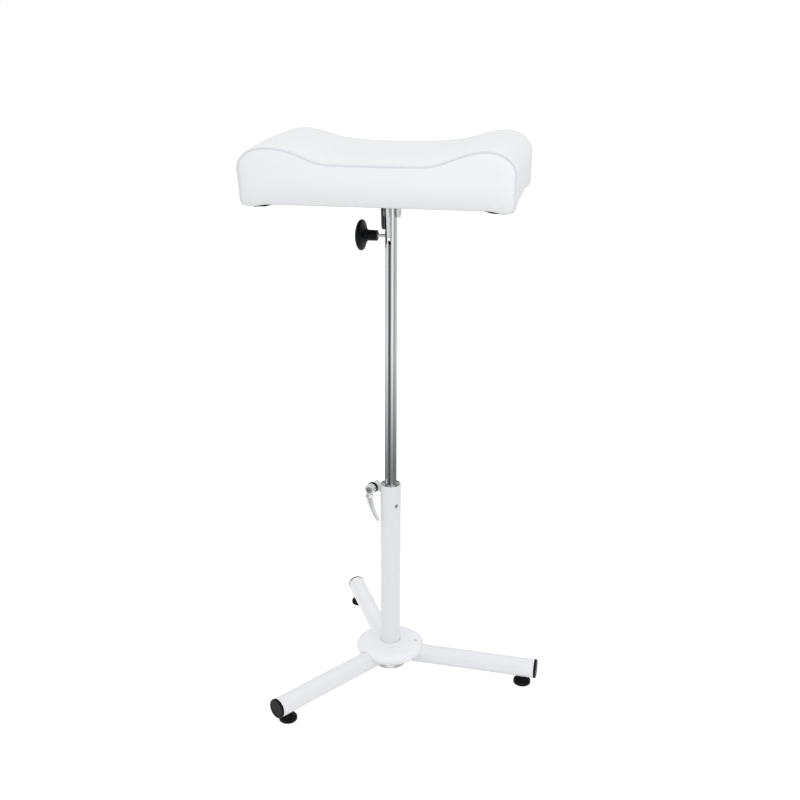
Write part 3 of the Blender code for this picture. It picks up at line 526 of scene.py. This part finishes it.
def ease(value):
    """A smooth step from 0 to 1."""
    value = np.clip(value, 0.0, 1.0)
    return value * value * (3 - 2 * value)


def hill(value, middle, width):
    """A smooth hill of height 1 round a middle."""
    return np.exp(-((value - middle) / width) ** 2 / 2)


def seat_frame(form):
    """The cushion's own frame in the part's: on its underside, tilted with the seat."""
    return (Matrix.Translation(TILT_JOINT["pos_m"]) @ Matrix.Rotation(form.tilt, 4, 'X')
            @ Matrix.Translation((0, 0, form.underside)))


def lobe_share(form, x):
    """0 in the trough, 1 on the lobes, smooth between."""
    share = np.clip((np.abs(x) - form.valley_half) / (form.lobe_x - form.valley_half), 0.0, 1.0)
    return (1 - np.cos(pi * share)) / 2


def half_outline(form):
    """The right half of the front outline, as dense points: top, then side, then bottom."""
    rise = form.lobe_height - form.valley_height
    top = [(x, form.valley_height + rise * lobe_share(form, x)) for x in np.linspace(0.0, form.lobe_x, 120)]
    base = form.lobe_height - form.shoulder
    wide = form.half_width - form.lobe_x
    turns = np.linspace(0.0, pi / 2, 60)[1:]
    shoulder = [(form.lobe_x + wide * sin(t), base + form.shoulder * cos(t)) for t in turns]
    lean = form.half_width - form.half_bottom
    shares = np.linspace(0.0, 1.0, 40)[1:]
    side = [(form.half_width - lean * s ** 1.5, base + (form.corner - base) * s) for s in shares]
    bends = np.linspace(0.0, pi / 2, 12)[1:]
    corner = [(form.half_bottom - form.corner * (1 - cos(t)), form.corner * (1 - sin(t))) for t in bends]
    bottom = [(x, 0.0) for x in np.linspace(form.half_bottom - form.corner, 0.0, 60)[1:]]
    return top + shoulder[:30], shoulder[29:] + side + corner[:6], corner[5:] + bottom


def seam_loop(form):
    """The closed outline: top from left to right, right side down, bottom back, left side up."""
    top, side, bottom = (np.array(part) for part in half_outline(form))
    flip = np.array([-1.0, 1.0])
    whole_top = np.vstack([top[:0:-1] * flip, top])
    whole_bottom = np.vstack([bottom[:-1], bottom[::-1] * flip])
    parts = (along(whole_top, ACROSS), along(side, UPRIGHT), along(whole_bottom, ACROSS),
             along((side * flip)[::-1], UPRIGHT))
    return np.vstack([part[:-1] for part in parts])


def outward(loop):
    """Unit normals of the closed outline, pointing out."""
    tangent = np.roll(loop, -1, axis=0) - np.roll(loop, 1, axis=0)
    tangent /= np.linalg.norm(tangent, axis=1)[:, None]
    return np.column_stack([-tangent[:, 1], tangent[:, 0]])


def panel_grid(loop):
    """Places inside the outline, blended from its four sides: rows from bottom to top."""
    top = loop[:ACROSS + 1]
    right = loop[ACROSS:ACROSS + UPRIGHT + 1][::-1]
    bottom = loop[ACROSS + UPRIGHT:2 * ACROSS + UPRIGHT + 1][::-1]
    left = np.vstack([loop[2 * ACROSS + UPRIGHT:], loop[:1]])
    u = np.linspace(0, 1, ACROSS + 1)[None, :, None]
    v = np.linspace(0, 1, UPRIGHT + 1)[:, None, None]
    sides = (1 - u) * left[:, None] + u * right[:, None]
    ends = (1 - v) * bottom[None] + v * top[None]
    corners = ((1 - u) * (1 - v) * bottom[0] + u * (1 - v) * bottom[-1]
               + (1 - u) * v * top[0] + u * v * top[-1])
    return sides + ends - corners


def rim_spot(row, column):
    """Where a panel's grid point lies on the outline, or None inside it."""
    if row == 0:
        return 2 * ACROSS + UPRIGHT - column
    if row == UPRIGHT:
        return column
    if column == 0:
        return 2 * ACROSS + UPRIGHT + row
    if column == ACROSS:
        return ACROSS + UPRIGHT - row
    return None


def side_pull(form, loop, y):
    """How the outline's right side draws in at a place between the seams."""
    starts, length = 0.25, 0.70
    outer = ease((np.abs(loop[:, 0]) - form.lobe_x) / (form.half_width - form.lobe_x))
    share = ease((y / form.depth + 0.5 - starts) / length)
    return np.column_stack([np.where(loop[:, 0] > 0, outer * share * form.rear_pull, 0.0), 0 * outer])


def upper_share(form, loop):
    """0 on the outline's flanks, 1 along its top, smooth between."""
    starts, length = 0.45, 0.25
    return ease((loop[:, 1] / form.lobe_height - starts) / length)


def settled(form, points):
    """Points of the cushion moved as its stuffing settled: fuller on the left, sagging at the corners."""
    end_starts, end_length = 0.150, 0.050
    shoulder_x, shoulder_width = -form.lobe_x - 0.011, 0.018
    slope_x, slope_width = -0.120, 0.022
    corner_starts, corner_length, corner_height = form.half_bottom - 0.040, 0.026, 0.050
    x, y, z = np.asarray(points, float).T
    along_y = np.abs(y) / (form.depth / 2)
    left = ease((-x - end_starts) / end_length)
    shoulder = hill(x, shoulder_x, shoulder_width) * ease((z - 0.030) / 0.030) * (1 - along_y ** 2)
    slope = hill(x, slope_x, slope_width) * ease((z - 0.020) / 0.040) * (0.5 - y / form.depth)
    corner = ease((np.abs(x) - corner_starts) / corner_length) * (1 - ease(z / corner_height))
    corner = corner * ease((along_y - 0.45) / 0.50)
    out = np.sign(x) * form.corner_sag * 0.5 * corner - form.left_fill * left
    rise = form.left_fill * 0.7 * shoulder + form.left_slope * slope - form.corner_sag * corner
    return np.column_stack([x + out, y, z + rise])


def cover_mesh(form):
    """Points, faces and pinned points of the cover: a band round the outline and two panels."""
    loop = seam_loop(form)
    normal = outward(loop)
    count = len(loop)
    half = form.depth / 2
    spots = np.arange(count)
    under = (spots > ACROSS + UPRIGHT) & (spots < 2 * ACROSS + UPRIGHT)
    lift = np.where(under, 0.0, 1.0)
    upper = upper_share(form, loop)
    rolled = (0.15 + 0.85 * upper) * (1 - form.lobe_ease * lobe_share(form, loop[:, 0]))
    foot_inset, foot_width = 0.012, 0.022
    foot = hill(np.abs(loop[:, 0]), form.valley_half + foot_inset, foot_width)
    rolled = rolled + upper * foot * form.slope_fill / form.seam_roll
    slopes = np.sin(np.linspace(-pi / 2, pi / 2, BETWEEN + 1))
    rows = 0.72 * slopes + 0.28 * np.linspace(-1, 1, BETWEEN + 1)    # closer together beside the seams
    sink_width, panel_round = 0.004, 0.042
    points, pinned, faces = [], [], []
    for share in rows:
        y = share * half
        inner = half - abs(y)
        draw = form.seam_sink * (1 - ease(inner / sink_width))
        roll = form.seam_roll * (1 - (1 - min(inner / form.roll_width, 1.0)) ** 2) ** 0.5
        swell = (form.crown * (1 - share ** 2) + roll * rolled) * lift - draw
        place = loop + normal * swell[:, None] - side_pull(form, loop, y)
        points += [(x, y, max(z, 0.0)) for x, z in place]
        pinned += list(under | (abs(share) > 0.999))
    for row in range(BETWEEN):
        low, high = row * count, (row + 1) * count
        for i in range(count):
            j = (i + 1) % count
            faces.append((low + i, low + j, high + j, high + i))
    for side in (-1, 1):
        edge = loop - normal * form.seam_sink - side_pull(form, loop, side * half)
        grid = panel_grid(edge)
        wall = np.min(np.linalg.norm(grid[:, :, None] - edge[None, None], axis=3), axis=2)
        round_in = np.sqrt(1 - (1 - np.clip(wall / panel_round, 0, 1)) ** 2)
        base = 0 if side < 0 else BETWEEN * count
        index = {}
        for i in range(UPRIGHT + 1):
            for j in range(ACROSS + 1):
                spot = rim_spot(i, j)
                if spot is not None:
                    index[i, j] = base + spot % count
                    continue
                index[i, j] = len(points)
                x, z = grid[i, j]
                points.append((x, side * (half + form.face_swell * round_in[i, j]), z))
                pinned.append(False)
        for i in range(UPRIGHT):
            for j in range(ACROSS):
                quad = (index[i, j], index[i, j + 1], index[i + 1, j + 1], index[i + 1, j])
                faces.append(quad if side < 0 else quad[::-1])
    return settled(form, points), faces, np.array(pinned)


def stuffed(piece, pinned, form):
    """Blow the cover up between its seams with a short cloth simulation, and keep the result."""
    scene = bpy.context.scene
    rest = np.array([vertex.co for vertex in piece.data.vertices])
    group = piece.vertex_groups.new(name="sewn")
    group.add([int(i) for i in np.flatnonzero(pinned)], 1.0, 'REPLACE')
    cloth = piece.modifiers.new("stuffing", 'CLOTH')
    cloth.settings.quality = 6
    cloth.settings.mass = 0.35
    cloth.settings.tension_stiffness = 60
    cloth.settings.compression_stiffness = 60
    cloth.settings.shear_stiffness = 25
    cloth.settings.bending_stiffness = 4
    cloth.settings.use_pressure = True
    cloth.settings.uniform_pressure_force = form.stuffing
    cloth.settings.vertex_group_mass = group.name
    cloth.settings.effector_weights.gravity = 0.0
    cloth.point_cache.frame_start = 1
    cloth.point_cache.frame_end = STUFFING_FRAMES
    for number in range(1, STUFFING_FRAMES + 1):
        scene.frame_set(number)
    graph = bpy.context.evaluated_depsgraph_get()
    grown = np.array([vertex.co for vertex in piece.evaluated_get(graph).data.vertices])
    piece.modifiers.remove(cloth)
    piece.vertex_groups.remove(group)
    scene.frame_set(1)
    step = grown - rest
    reach = np.linalg.norm(step, axis=1)
    soft = form.swell_limit * np.tanh(reach / form.swell_limit)
    moved = rest + step * (soft / np.maximum(reach, 1e-9))[:, None]
    piece.data.vertices.foreach_set("co", moved.astype(np.float32).ravel())
    piece.data.update()


def pucker(piece, form):
    """Small gathers of the cover beside its seams, and slow unevenness of the foam."""
    underside, gather_place, gather_width = 0.002, form.depth / 2 - 0.010, 0.012
    gather_depth, foam_depth, foam_starts = 0.00030, 0.00055, 0.02
    for vertex in piece.data.vertices:
        x, y, z = vertex.co
        if z < underside:
            continue
        near = max(0.0, 1 - abs(abs(y) - gather_place) / gather_width)
        gather = noise.noise(Vector((x * 75, y * 12, z * 75))) * gather_depth * near
        slow = noise.noise(Vector((x * 16, y * 16, z * 16 + 3.0))) * foam_depth
        vertex.co += vertex.normal * (gather + slow * min(1.0, z / foam_starts))


def tube(path, radius, sides=10):
    """Points and faces of a closed-ended round cord along a path."""
    path = np.asarray(path, float)
    ahead = np.gradient(path, axis=0)
    ahead /= np.linalg.norm(ahead, axis=1)[:, None]
    side = np.array([0.0, 1.0, 0.0])
    points, faces = [], []
    for spot, line in zip(path, ahead):
        a = np.cross(line, side)
        a /= np.linalg.norm(a)
        b = np.cross(line, a)
        for turn in np.linspace(0, 2 * pi, sides, endpoint=False):
            points.append(spot + radius * (cos(turn) * a + sin(turn) * b))
    for row in range(len(path) - 1):
        for i in range(sides):
            j = (i + 1) % sides
            low, high = row * sides, (row + 1) * sides
            faces.append((low + i, low + j, high + j, high + i))
    faces.append(tuple(range(sides))[::-1])
    faces.append(tuple(range(len(points) - sides, len(points))))
    return points, faces


def welt_line(form, side):
    """A side's welt from one lower corner over the top to the other, drawn in, deeper on the flanks."""
    inset, flank_inset, face_inset, count = 0.0004, 0.0008, 0.0002, 260
    loop = seam_loop(form)
    deeper = inset + flank_inset * (1 - upper_share(form, loop))
    place = loop - outward(loop) * deeper[:, None] - side_pull(form, loop, side * form.depth / 2)
    start = 2 * ACROSS + UPRIGHT
    path = along(np.vstack([place[start:], place[:ACROSS + UPRIGHT + 1]]), count)
    y = side * (form.depth / 2 - face_inset)
    return settled(form, [(x, y, z) for x, z in path])


def lining_sheet(form):
    """Points and faces of the lining under the board: taut, with a pleat hanging at each front corner."""
    half_x = form.half_bottom - form.corner - 0.0010
    half_y = form.depth / 2 - 0.0060
    below, slack_depth = 0.0004, 0.0009
    bracket_x, bracket_y, clear_length = 0.052, 0.042, 0.03
    pleat_inset, pleat_half, pleat_starts, pleat_length = 0.020, 0.014, 0.014, 0.012
    columns, rows = 120, 60
    points, faces = [], []
    for y in np.linspace(-half_y, half_y, rows + 1):
        for x in np.linspace(-half_x, half_x, columns + 1):
            clear = ease((abs(x) - bracket_x) / clear_length) + ease((abs(y) - bracket_y) / clear_length)
            clear = min(clear, 1.0) * ease((y + half_y) / 0.05)
            slack = slack_depth * clear * (1 + noise.noise(Vector((x * 22, y * 30, 0))))
            front = ease((-y - half_y + pleat_starts) / pleat_length)
            pleat = ease(1 - abs(abs(x) - half_x + pleat_inset) / pleat_half)
            points.append((x, y, -below - slack - form.pleat_drop * front * pleat))
    for i in range(rows):
        for j in range(columns):
            low = i * (columns + 1) + j
            high = low + columns + 1
            faces.append((low, high, high + 1, low + 1))
    points = np.column_stack([np.array(points)[:, :2], settled(form, points)[:, 2]])
    return points, faces, (2 * half_x, 2 * half_y)


# Studio

def rays(sketch, *names):
    """1 where a ray is of one of these kinds."""
    path = sketch.node('ShaderNodeLightPath').socket.node
    kinds = [Wire(sketch, path.outputs[name]) for name in names]
    total = kinds[0]
    for kind in kinds[1:]:
        total = total | kind
    return total


def stage_mesh(name, points, faces, material):
    """A mesh object for the stage."""
    mesh = bpy.data.meshes.new(name)
    mesh.from_pydata(points, [], faces)
    mesh.materials.append(material)
    made = bpy.data.objects.new(name, mesh)
    bpy.context.scene.collection.objects.link(made)
    return made


def studio_floor():
    """A pale floor that shows white and keeps the object's shadow."""
    material = bpy.data.materials.new("pale_floor")
    material.use_nodes = True
    s = Sketch(material.node_tree)
    matt = s.node('ShaderNodeBsdfDiffuse', {}, {"Color": (0.86, 0.86, 0.86, 1)})
    soft = s.node('ShaderNodeBsdfDiffuse', {}, {"Color": (0.26, 0.26, 0.26, 1)})
    glow = s.node('ShaderNodeEmission', {}, {"Color": (1, 1, 1, 1), "Strength": 0.88})
    white = s.node('ShaderNodeAddShader', {}, {0: soft, 1: glow})
    look = s.node('ShaderNodeMixShader', {}, {0: rays(s, *SEEN), 1: matt, 2: white})
    s.node('ShaderNodeOutputMaterial', {}, {"Surface": look})
    half, level = 40.0, -0.0004
    corners = [(x * half, y * half, level) for x, y in ((-1, -1), (1, -1), (1, 1), (-1, 1))]
    floor = stage_mesh("floor", corners, [(0, 1, 2, 3)], material)


def studio_world(scene, setup):
    """Surroundings that light with the fill and show white."""
    world = bpy.data.worlds.new("studio")
    world.use_nodes = True
    s = Sketch(world.node_tree)
    lit = s.node('ShaderNodeBackground', {}, {"Color": (*setup.fill_colour, 1), "Strength": setup.fill})
    white = s.node('ShaderNodeBackground', {}, {"Color": (1, 1, 1, 1), "Strength": 1.0})
    look = s.node('ShaderNodeMixShader', {}, {0: rays(s, *SEEN), 1: lit, 2: white})
    s.node('ShaderNodeOutputWorld', {}, {"Surface": look})
    scene.world = world


def reflector(middle):
    """A round screen that only shiny things show: pale left, white front, grey right, dark low down."""
    radius, height, sides = 0.75, 1.3, 48
    material = bpy.data.materials.new("reflector")
    material.use_nodes = True
    s = Sketch(material.node_tree)
    place = s.node('ShaderNodeTexCoord', output="Object")
    parts = s.node('ShaderNodeSeparateXYZ', {}, {0: place}).socket.node
    x, y, z = (Wire(s, parts.outputs[name]) for name in "XYZ")
    turn = x.maths('ARCTAN2', y, x)
    right = s.span(turn, radians(-38), radians(-26)) * s.span(turn, radians(0), radians(40), 1.0, 0.35)
    front = s.span(turn, radians(-92), radians(-82)) * (1 - right)
    front = front * s.span(turn, radians(-30), radians(-20), 1.0, 0.0)
    tone = s.mix(front, (0.82, 0.83, 0.84, 1), (1.03, 1.03, 1.03, 1))
    tone = s.mix(right, tone, (0.47, 0.48, 0.49, 1))
    stand = s.span(turn, radians(-100), radians(-88)) * s.span(turn, radians(-70), radians(-60), 1.0, 0.0)
    tone = s.mix(stand, tone, (0.58, 0.59, 0.60, 1))
    tone = s.mix(s.span(z, 0.10, 0.40, 0.80, 0.0), tone, (0.10, 0.10, 0.10, 1))
    glow = s.node('ShaderNodeEmission', {}, {"Color": tone, "Strength": 1.0})
    s.node('ShaderNodeOutputMaterial', {}, {"Surface": glow})
    turns = np.linspace(0, 2 * pi, sides, endpoint=False)
    points = [(radius * cos(t), radius * sin(t), level) for level in (0.0, height) for t in turns]
    faces = [(i, (i + 1) % sides, sides + (i + 1) % sides, sides + i) for i in range(sides)]
    screen = stage_mesh("reflector", points, faces, material)
    screen.location = (middle, 0, 0)
    screen.visible_camera = False
    screen.visible_diffuse = False
    screen.visible_transmission = False
    screen.visible_shadow = False


def softbox(name, power, size, place, colour):
    """A square area lamp aimed at the middle of the footrest."""
    target = Vector((0, 0, 0.55))
    lamp = bpy.data.lights.new(name, 'AREA')
    lamp.energy = power
    lamp.size = size
    lamp.color = colour
    box = bpy.data.objects.new(name, lamp)
    bpy.context.scene.collection.objects.link(box)
    box.location = place
    box.rotation_euler = (target - Vector(place)).to_track_quat('-Z', 'Y').to_euler()


def studio_camera(scene, setup):
    """The camera at the photograph's place."""
    frame_pixels = 800
    level = Vector((cos(setup.yaw), sin(setup.yaw), 0))
    forward = Vector((-sin(setup.yaw), cos(setup.yaw), 0))
    ahead = forward * cos(setup.pitch) - Vector((0, 0, sin(setup.pitch)))
    upright = level.cross(ahead)
    right = level * cos(setup.roll) + upright * sin(setup.roll)
    up = upright * cos(setup.roll) - level * sin(setup.roll)
    data = bpy.data.cameras.new("camera")
    data.sensor_width = 36.0
    data.lens = setup.focal_pixels * data.sensor_width / frame_pixels
    data.clip_end = 60.0
    camera = bpy.data.objects.new("camera", data)
    scene.collection.objects.link(camera)
    turned = Matrix((right, up, -ahead)).transposed().to_4x4()
    camera.matrix_world = Matrix.Translation(setup.camera_place) @ turned
    scene.camera = camera


# Operators

class FOOTREST_OT_painted_metal(bpy.types.Operator):
    """Powder coat on the hub, legs, column and clamp lugs"""

    bl_idname = "footrest.painted_metal"
    bl_label = "Painted metal"

    def execute(self, context):
        colours = context.scene.footrest_colours
        dress(powder_coat("white_powder_coat", colours.paint), "white_paint")
        # Painted light and shade: the column takes a darker copy of the paint, the hub and rear leg a lighter
        # copy.
        dress_nodes(powder_coat("column_coat", tint(colours.paint, 0.948)), "column_tube")
        dress_nodes(powder_coat("hub_coat", tint(colours.paint, 1.062)), "hub", "leg_rear")
        return {'FINISHED'}


class FOOTREST_OT_bright_metal(bpy.types.Operator):
    """Chrome on the mast and lever, zinc on the fittings"""

    bl_idname = "footrest.bright_metal"
    bl_label = "Bright metal"

    def execute(self, context):
        colours = context.scene.footrest_colours
        axis, _y, pin = TILT_JOINT["pos_m"]
        low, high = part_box("mast_tube")
        radius, groove_half, ear_height = (high[0] - low[0]) / 2, 0.0020, 0.023
        # The bracket's left ear gets painted shade, up to a height above the tilt pin.
        groove, shaded_left_ear = (axis, radius, groove_half), (axis - radius, pin + ear_height)
        # The mast's groove carries painted shade.
        dress(chrome_plate("mast_chrome", colours.chrome, 0.05, groove), "chrome")
        dress(chrome_plate("lever_chrome", colours.chrome, 0.16, metal=0.70), "lever_chrome")
        dress(zinc_plate("zinc_plate", colours.zinc), "zinc_steel")
        dark = zinc_plate("dark_steel", tint(colours.zinc, 0.55))
        # Painted light: the bracket takes a lighter, less metallic copy of the zinc; its left ear carries painted
        # shade.
        dress_nodes(zinc_plate("bracket_plate", tint(colours.zinc, 1.30), shaded_left_ear), "tilt_bracket")
        # Painted light: a lighter copy of the zinc on the lock plate and the hub's set screw.
        dress_nodes(zinc_plate("bright_zinc", tint(colours.zinc, 1.36)), "lock_plate", "hub_set_screw")
        dress_nodes(dark, "bush_screw", "lever_screw")
        # The washer's and bolt's painted highlight faces the camera, at -78 degrees round the axis.
        dress_nodes(rubbed_steel(colours.zinc, axis, radians(-78)), "hub_washer", "hub_bolt")
        return {'FINISHED'}


class FOOTREST_OT_plastics(bpy.types.Operator):
    """Plastic and rubber: knob, caps, collar, bush, washers and feet"""

    bl_idname = "footrest.plastics"
    bl_label = "Plastics and rubber"

    def execute(self, context):
        colours = context.scene.footrest_colours
        axis = TILT_JOINT["pos_m"][0]
        dress(moulded_plastic("black_plastic", colours.black, 0.32, 1.25), "black_plastic")
        # The bush gets painted reflection streaks round the mast's axis.
        dress(moulded_plastic("grey_plastic", colours.bush, 0.34, middle=axis), "grey_plastic")
        dress(moulded_plastic("natural_nylon", colours.nylon, 0.42), "nylon")
        rubber = foot_rubber(colours.rubber)
        dress(rubber, "black_rubber")
        dress_nodes(rubber, "clamp_collar")
        return {'FINISHED'}


class FOOTREST_OT_cushion(bpy.types.Operator):
    """Sewn and stuffed cover of the cushion"""

    bl_idname = "footrest.cushion"
    bl_label = "Cushion"

    def execute(self, context):
        form = context.scene.footrest_cushion
        points, faces, pinned = cover_mesh(form)
        colours = context.scene.footrest_colours
        material = leatherette(colours.leatherette, colours.panel, form.depth / 2)
        cover = new_piece("cushion", points, faces, material, "seat", seat_frame(form))
        stuffed(cover, pinned, form)
        pucker(cover, form)
        smooth = cover.modifiers.new("smooth", 'SUBSURF')
        smooth.levels = 1
        smooth.render_levels = 1
        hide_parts("cushion_cover", "foam_core")
        return {'FINISHED'}


class FOOTREST_OT_seams(bpy.types.Operator):
    """Welt cords along the front and rear seams"""

    bl_idname = "footrest.seams"
    bl_label = "Welts"

    def execute(self, context):
        form = context.scene.footrest_cushion
        colours = context.scene.footrest_colours
        cord = welt_cord(colours.welt)
        place = seat_frame(form)
        for name, side in (("front", -1), ("rear", 1)):
            points, faces = tube(welt_line(form, side), form.welt)
            welt = new_piece("welt_" + name, points, faces, cord, "seat", place)
            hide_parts("piping_" + name)
        return {'FINISHED'}


class FOOTREST_OT_underside(bpy.types.Operator):
    """Board and lining under the cushion"""

    bl_idname = "footrest.underside"
    bl_label = "Underside"

    def execute(self, context):
        form = context.scene.footrest_cushion
        dress(birch_board(), "plywood")
        cloth = lining_cloth(context.scene.footrest_colours.lining)
        points, faces, flat = lining_sheet(form)
        lining = new_piece("lining", points, faces, cloth, "seat", seat_frame(form))
        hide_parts("base_cloth")
        return {'FINISHED'}


class FOOTREST_OT_studio(bpy.types.Operator):
    """Floor, light and camera"""

    bl_idname = "footrest.studio"
    bl_label = "Studio"

    def execute(self, context):
        setup = context.scene.footrest_studio
        context.scene.view_settings.view_transform = 'Standard'
        studio_floor()
        studio_world(context.scene, setup)
        reflector(TILT_JOINT["pos_m"][0])
        softbox("key", setup.key, setup.key_size, setup.key_place, setup.key_colour)
        studio_camera(context.scene, setup)
        return {'FINISHED'}


class FOOTREST_PT_pieces(bpy.types.Panel):
    """The footrest's pieces, in the order they are made"""

    bl_idname = "FOOTREST_PT_pieces"
    bl_label = "Footrest"
    bl_space_type = 'VIEW_3D'
    bl_region_type = 'UI'
    bl_category = "Footrest"

    def draw(self, context):
        for operator in OPERATORS:
            self.layout.operator(operator.bl_idname)


GROUPS = {
    "footrest_cushion": CushionForm,
    "footrest_colours": FootrestColours,
    "footrest_studio": StudioSetup,
}
OPERATORS = (
    FOOTREST_OT_painted_metal,
    FOOTREST_OT_bright_metal,
    FOOTREST_OT_plastics,
    FOOTREST_OT_cushion,
    FOOTREST_OT_seams,
    FOOTREST_OT_underside,
    FOOTREST_OT_studio,
)


def register():
    for kind in (*GROUPS.values(), *OPERATORS, FOOTREST_PT_pieces):
        bpy.utils.register_class(kind)
    for name, kind in GROUPS.items():
        setattr(bpy.types.Scene, name, bpy.props.PointerProperty(type=kind))


def unregister():
    for name in GROUPS:
        delattr(bpy.types.Scene, name)
    for kind in (FOOTREST_PT_pieces, *reversed(OPERATORS), *reversed(GROUPS.values())):
        bpy.utils.unregister_class(kind)


def main():
    register()
    for operator in OPERATORS:
        group, name = operator.bl_idname.split(".")
        getattr(getattr(bpy.ops, group), name)()


if __name__ == "__main__":
    main()
